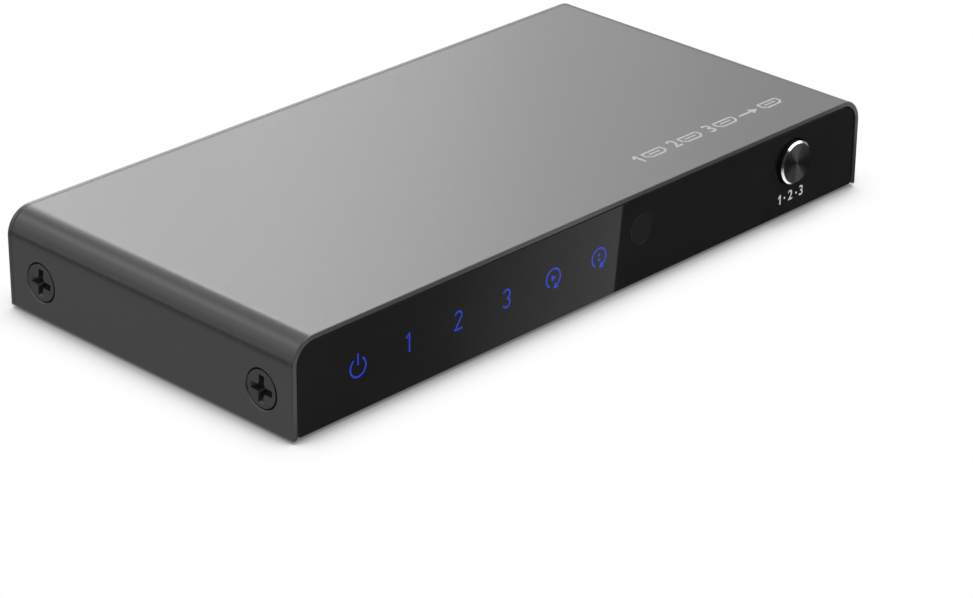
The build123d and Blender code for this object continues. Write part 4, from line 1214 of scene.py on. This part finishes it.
def grey_ramp(tree, steps):
    """A ramp with grey steps of place and lightness."""
    ramp = node_in(tree, "ShaderNodeValToRGB")
    stops = ramp.color_ramp.elements
    stops.remove(stops[1])
    for i, (position, shade) in enumerate(steps):
        stop = stops[0] if i == 0 else stops.new(position)
        stop.position = position
        stop.color = (shade, shade, shade, 1)
    return ramp


def floor_material():
    """White floor, with a painted shadow only where the case is near, and seen white by gloss.
    """
    material, tree, output = bare("floor")
    matt = node_in(tree, "ShaderNodeBsdfDiffuse",
                   {"Color": (FLOOR_SHADE, FLOOR_SHADE, FLOOR_SHADE, 1)})
    # painted shadow: the floor's light is darkened by how open it is to the sky near the case
    near = node_in(tree, "ShaderNodeAmbientOcclusion", {"Distance": SHADOW_REACH * MM},
                   samples=SHADOW_SAMPLES)
    ramp = grey_ramp(tree, SHADOW_STEPS)
    bright = node_in(tree, "ShaderNodeEmission")
    path = node_in(tree, "ShaderNodeLightPath")
    seen = node_in(tree, "ShaderNodeMath", operation="MAXIMUM")
    through = node_in(tree, "ShaderNodeMath", operation="MAXIMUM")
    pick = node_in(tree, "ShaderNodeMixShader")
    wired(tree, (near, "AO", ramp, "Fac"), (ramp, "Color", bright, "Color"),
          (path, "Is Camera Ray", seen, 0), (path, "Is Glossy Ray", seen, 1),
          (seen, 0, through, 0), (path, "Is Transmission Ray", through, 1),
          (through, 0, pick, "Fac"), (matt, "BSDF", pick, 1), (bright, "Emission", pick, 2),
          (pick, "Shader", output, "Surface"))
    return material


def stage_sheet(name, points, material):
    """A flat sheet of the stage."""
    mesh = bpy.data.meshes.new(name)
    mesh.from_pydata(points, [], [range(len(points))])
    mesh.transform(Matrix.Scale(MM, 4))
    mesh.materials.append(material)
    sheet = bpy.data.objects.new(name, mesh)
    bpy.context.scene.collection.objects.link(sheet)
    return sheet


def reflector_material(name, steps, along):
    """Light on a sheet's front, in these steps along a way, and nothing on its back."""
    material, tree, output = bare(name)
    place = node_in(tree, "ShaderNodeTexCoord")
    reach = node_in(tree, "ShaderNodeVectorMath", {1: along}, operation="DOT_PRODUCT")
    first, last = steps[0][0], steps[-1][0]
    across = spanned(tree, reach, "Value", (first * MM, last * MM), 0, 1)
    ramp = grey_ramp(tree, [((at - first) / (last - first), light) for at, light in steps])
    glow = node_in(tree, "ShaderNodeEmission")
    side = node_in(tree, "ShaderNodeNewGeometry")
    clear = node_in(tree, "ShaderNodeBsdfTransparent")
    pick = node_in(tree, "ShaderNodeMixShader")
    wired(tree, (place, "Object", reach, 0), (across, "Result", ramp, "Fac"),
          (ramp, "Color", glow, "Color"), (side, "Backfacing", pick, "Fac"),
          (glow, "Emission", pick, 1), (clear, "BSDF", pick, 2),
          (pick, "Shader", output, "Surface"))
    return material


def reflector(name, points, steps, along=ALONG_X, only=None):
    """A sheet that only gloss sees, with these steps of distance along a way and light.

    Where a piece is given, the sheet lights that piece alone.
    """
    sheet = stage_sheet(name, points, reflector_material(name, steps, along))
    sheet.visible_camera = False
    sheet.visible_diffuse = False
    sheet.visible_transmission = False
    sheet.visible_shadow = False
    if only:
        lit = bpy.data.collections.new(name)
        lit.objects.link(only)
        sheet.light_linking.receiver_collection = lit


def level(points):
    """Points of a level sheet just above the floor."""
    return [(x, y, FLAG_Z) for x, y in points]


def direction(bearing, height):
    """The way to a point of the sky: degrees from +Y towards +X, and degrees up."""
    b, h = math.radians(bearing), math.radians(height)
    return Vector((math.sin(b) * math.cos(h), math.cos(b) * math.cos(h), math.sin(h)))


def wall(start, end, top):
    """The corners of a sheet that stands between two bearings and faces the case."""
    a, b = (direction(bearing, 0) * WALL_DISTANCE for bearing in (start, end))
    return [(way.x, way.y, z) for way, z in ((a, WALL_FOOT), (b, WALL_FOOT), (b, top), (a, top))]


def even(light):
    """The steps of a reflector that is equally light all over."""
    return ((0, light), (1, light))


def front_reflectors(cover):
    """What the front plate and the cover's rim mirror from the floor before the case."""
    reflector("front_flag", level([(FLAG_CORNER, FLAG_FRONT), (RIM_LEFT, FLAG_TOP),
                                   (FLAG_RIGHT, FLAG_TOP), (FLAG_RIGHT_FOOT, FLAG_FRONT)]),
              GLARE_STEPS, GLARE_WAY)
    reflector("rim_card", level(rectangle(RIM_LEFT, RIM_FRONT, RIM_RIGHT, FLAG_TOP)), RIM_STEPS)
    reflector("rim_card_left", level([(FLAG_LEFT, RIM_FRONT), (RIM_LEFT, RIM_FRONT),
                                      (RIM_LEFT, FLAG_TOP), (FLAG_CORNER, FLAG_FRONT),
                                      (FLAG_LEFT, FLAG_FRONT)]), even(RIM_LEFT_LIGHT))
    reflector("rim_card_right", level(rectangle(RIM_RIGHT, RIM_FRONT, RIM_TURN, FLAG_TOP)),
              even(RIM_RIGHT_LIGHT), only=cover)
    reflector("rim_card_end", level(rectangle(RIM_TURN, RIM_FRONT, RIM_END, FLAG_TOP)),
              even(RIM_END_LIGHT))


def dark_reflectors():
    """The dark surroundings on the camera's side, and the floor that the left side mirrors."""
    reflector("dark_floor", level(rectangle(FLAG_LEFT, -FAR, RIM_TURN, RIM_FRONT)), even(DARK))
    reflector("dark_corner", level(rectangle(-FAR, -FAR, FLAG_LEFT, FLAG_FRONT)), even(0))
    for name, start, end, top in DARK_WALLS:
        reflector(name, wall(start, end, top), even(DARK))
    reflector("side_flag", level(rectangle(-SIDE_FAR, FLAG_FRONT, SIDE_EDGE, SIDE_FAR)),
              SIDE_STEPS)


def softbox(name, bearing, height, width, tall, light):
    """A large soft lamp that looks at the case from a place in the sky, sizes in metres."""
    lamp = bpy.data.lights.new(name, "AREA")
    lamp.shape = "RECTANGLE"
    lamp.size = width
    lamp.size_y = tall
    lamp.energy = light * width * tall * LAMP_WATTS
    holder = bpy.data.objects.new(name, lamp)
    bpy.context.scene.collection.objects.link(holder)
    away = direction(bearing, height)
    holder.location = away * LAMP_DISTANCE
    holder.rotation_euler = away.to_track_quat("Z", "Y").to_euler()
    holder.visible_camera = False


def back_lights():
    """A wide soft light behind the case, strongest in its middle, that the top mirrors."""
    for start, end, light in BACK_LIGHTS:
        width = 2 * LAMP_DISTANCE * math.tan(math.radians((end - start) / 2))
        softbox("back_light", (start + end) / 2, BACK_HEIGHT, width, BACK_TALL, light)


def sky():
    """A plain grey surround, darker towards the horizon."""
    world = bpy.data.worlds.new("sky")
    bpy.context.scene.world = world
    world.use_nodes = True
    tree = world.node_tree
    place = node_in(tree, "ShaderNodeTexCoord")
    split = node_in(tree, "ShaderNodeSeparateXYZ")
    ramp = grey_ramp(tree, LOW_SKY)
    path = node_in(tree, "ShaderNodeLightPath")
    shown = node_in(tree, "ShaderNodeMixRGB", {"Color2": (1, 1, 1, 1)})
    wired(tree, (place, "Generated", split, "Vector"), (split, "Z", ramp, "Fac"),
          (path, "Is Camera Ray", shown, "Fac"), (ramp, "Color", shown, "Color1"),
          (shown, "Color", tree.nodes["Background"], "Color"))


def camera():
    """The camera, where the photograph was taken."""
    yaw, pitch, roll = (math.radians(a) for a in (CAMERA_YAW, CAMERA_PITCH, CAMERA_ROLL))
    ahead = Vector((math.sin(yaw) * math.cos(pitch), math.cos(yaw) * math.cos(pitch),
                    -math.sin(pitch)))
    right = Vector((math.cos(yaw), -math.sin(yaw), 0))
    up = right.cross(ahead)
    turned_right = math.cos(roll) * right + math.sin(roll) * up
    turned_up = -math.sin(roll) * right + math.cos(roll) * up
    data = bpy.data.cameras.new("camera")
    data.sensor_width = CAMERA_SENSOR
    data.lens = CAMERA_LENS
    data.clip_start = CAMERA_NEAR
    data.clip_end = CAMERA_FAR
    holder = bpy.data.objects.new("camera", data)
    bpy.context.scene.collection.objects.link(holder)
    turn = Matrix((turned_right, turned_up, -ahead)).transposed().to_4x4()
    holder.matrix_world = Matrix.Translation(Vector(CAMERA_AT) * MM) @ turn
    bpy.context.scene.camera = holder


# The object

paint = case_paint()
plastic = finish("black_moulding", (0.022, 0.022, 0.023), (0.38, 0.5), grain=0.2, height=0.006)
steel = finish("plated_steel", (0.6, 0.59, 0.57), (0.2, 0.32), grain=0.5, Metallic=1.0)
gilt = finish("gilt", (0.83, 0.58, 0.2), (0.18, 0.28), Metallic=1.0)
zinc = finish("screw_dark", (0.18, 0.18, 0.185), (0.3, 0.4), grain=0.25, Metallic=0.9)
rubber = finish("foot_rubber", (0.02, 0.02, 0.02), (0.7, 0.85), grain=0.15, height=0.02)
tint = finish("window_tint", (0.0198, 0.0196, 0.0196), (0.06, 0.1), grain=2, height=0.001)
ink = finish("white_ink", (0.9, 0.9, 0.9), (0.5, 0.6), grain=0.1, spread=0.03, height=0.002)
top_ink = finish("grey_ink", (0.62, 0.62, 0.62), (0.5, 0.6), grain=0.1, spread=0.03,
                 height=0.002)
bright_cut = finish("bright_cut", (0.9, 0.9, 0.91), (0.1, 0.16), grain=0.2, height=0.001,
                    Metallic=1.0)
anodised = finish("black_anodised", (0.008, 0.008, 0.009), (0.3, 0.4), grain=0.1)
chip = finish("chip_epoxy", (0.025, 0.025, 0.027), (0.45, 0.6), grain=0.15, height=0.01)

on_marks = marks_tree()
in_row = row_tree()
cover = case_cover(paint)
case_tray(paint)
fascia_plate(fascia_gloss())
remote_window(tint)
button = push_button(spun("spun_face", (0.14, 0.14, 0.15), (0.45, 0.5), anisotropy=0.95),
                     bright_cut, anodised)
cover_screws(on_marks, zinc)
feet(on_marks, rubber)
for port in PORTS:
    video_socket(port, on_marks, in_row, steel, plastic, gilt)
power_jack(plastic)
top_print(top_ink)
front_print(ink)
back_print(ink)

dressed({
    "light_guide_": icon_glow(),
    "led_": finish("led_body", (0.8, 0.8, 0.76), (0.35, 0.5)),
    "fascia_tape": finish("tape", (0.04, 0.04, 0.042), (0.6, 0.75), grain=0.4, height=0.01),
    "light_box": plastic,
    "ir_receiver": finish("receiver_epoxy", (0.02, 0.02, 0.022), (0.2, 0.3)),
    "select_button_stem": plastic,
    "tact_switch_base": plastic,
    "tact_switch_plunger": finish("white_moulding", (0.8, 0.8, 0.77), (0.4, 0.5)),
    "jack_pin": steel,
    "jack_spring": steel,
    "main_board": board_mask(),
    "board_standoffs": steel,
    "board_screws": finish("screw_zinc", (0.62, 0.62, 0.6), (0.25, 0.4), Metallic=1.0),
    "switch_chip": chip,
    "microcontroller": chip,
    "voltage_regulator": chip,
    "thermal_pad": finish("soft_pad", (0.3, 0.4, 0.55), (0.6, 0.75), grain=0.4, height=0.01),
    "chip_heatsink": finish("black_aluminium", (0.03, 0.03, 0.033), (0.35, 0.5), grain=0.2,
                            Metallic=0.6),
    "power_inductor": finish("ferrite", (0.07, 0.07, 0.072), (0.5, 0.65), grain=0.2,
                             height=0.01),
    "filter_capacitors": finish("can", (0.7, 0.7, 0.71), (0.25, 0.4), grain=0.4, Metallic=1.0),
    "crystal": steel,
})

# Its surroundings

stage_sheet("floor", FLOOR, floor_material())
front_reflectors(cover)
dark_reflectors()
reflector("button_card", CARD_POINTS, CARD_STEPS, only=button)
reflector("button_wing", WING_POINTS, WING_STEPS, ALONG_Z, only=button)
sky()
back_lights()
for lamp in SOFTBOXES:
    softbox(*lamp)
camera()
bpy.context.scene.view_settings.view_transform = "Standard"
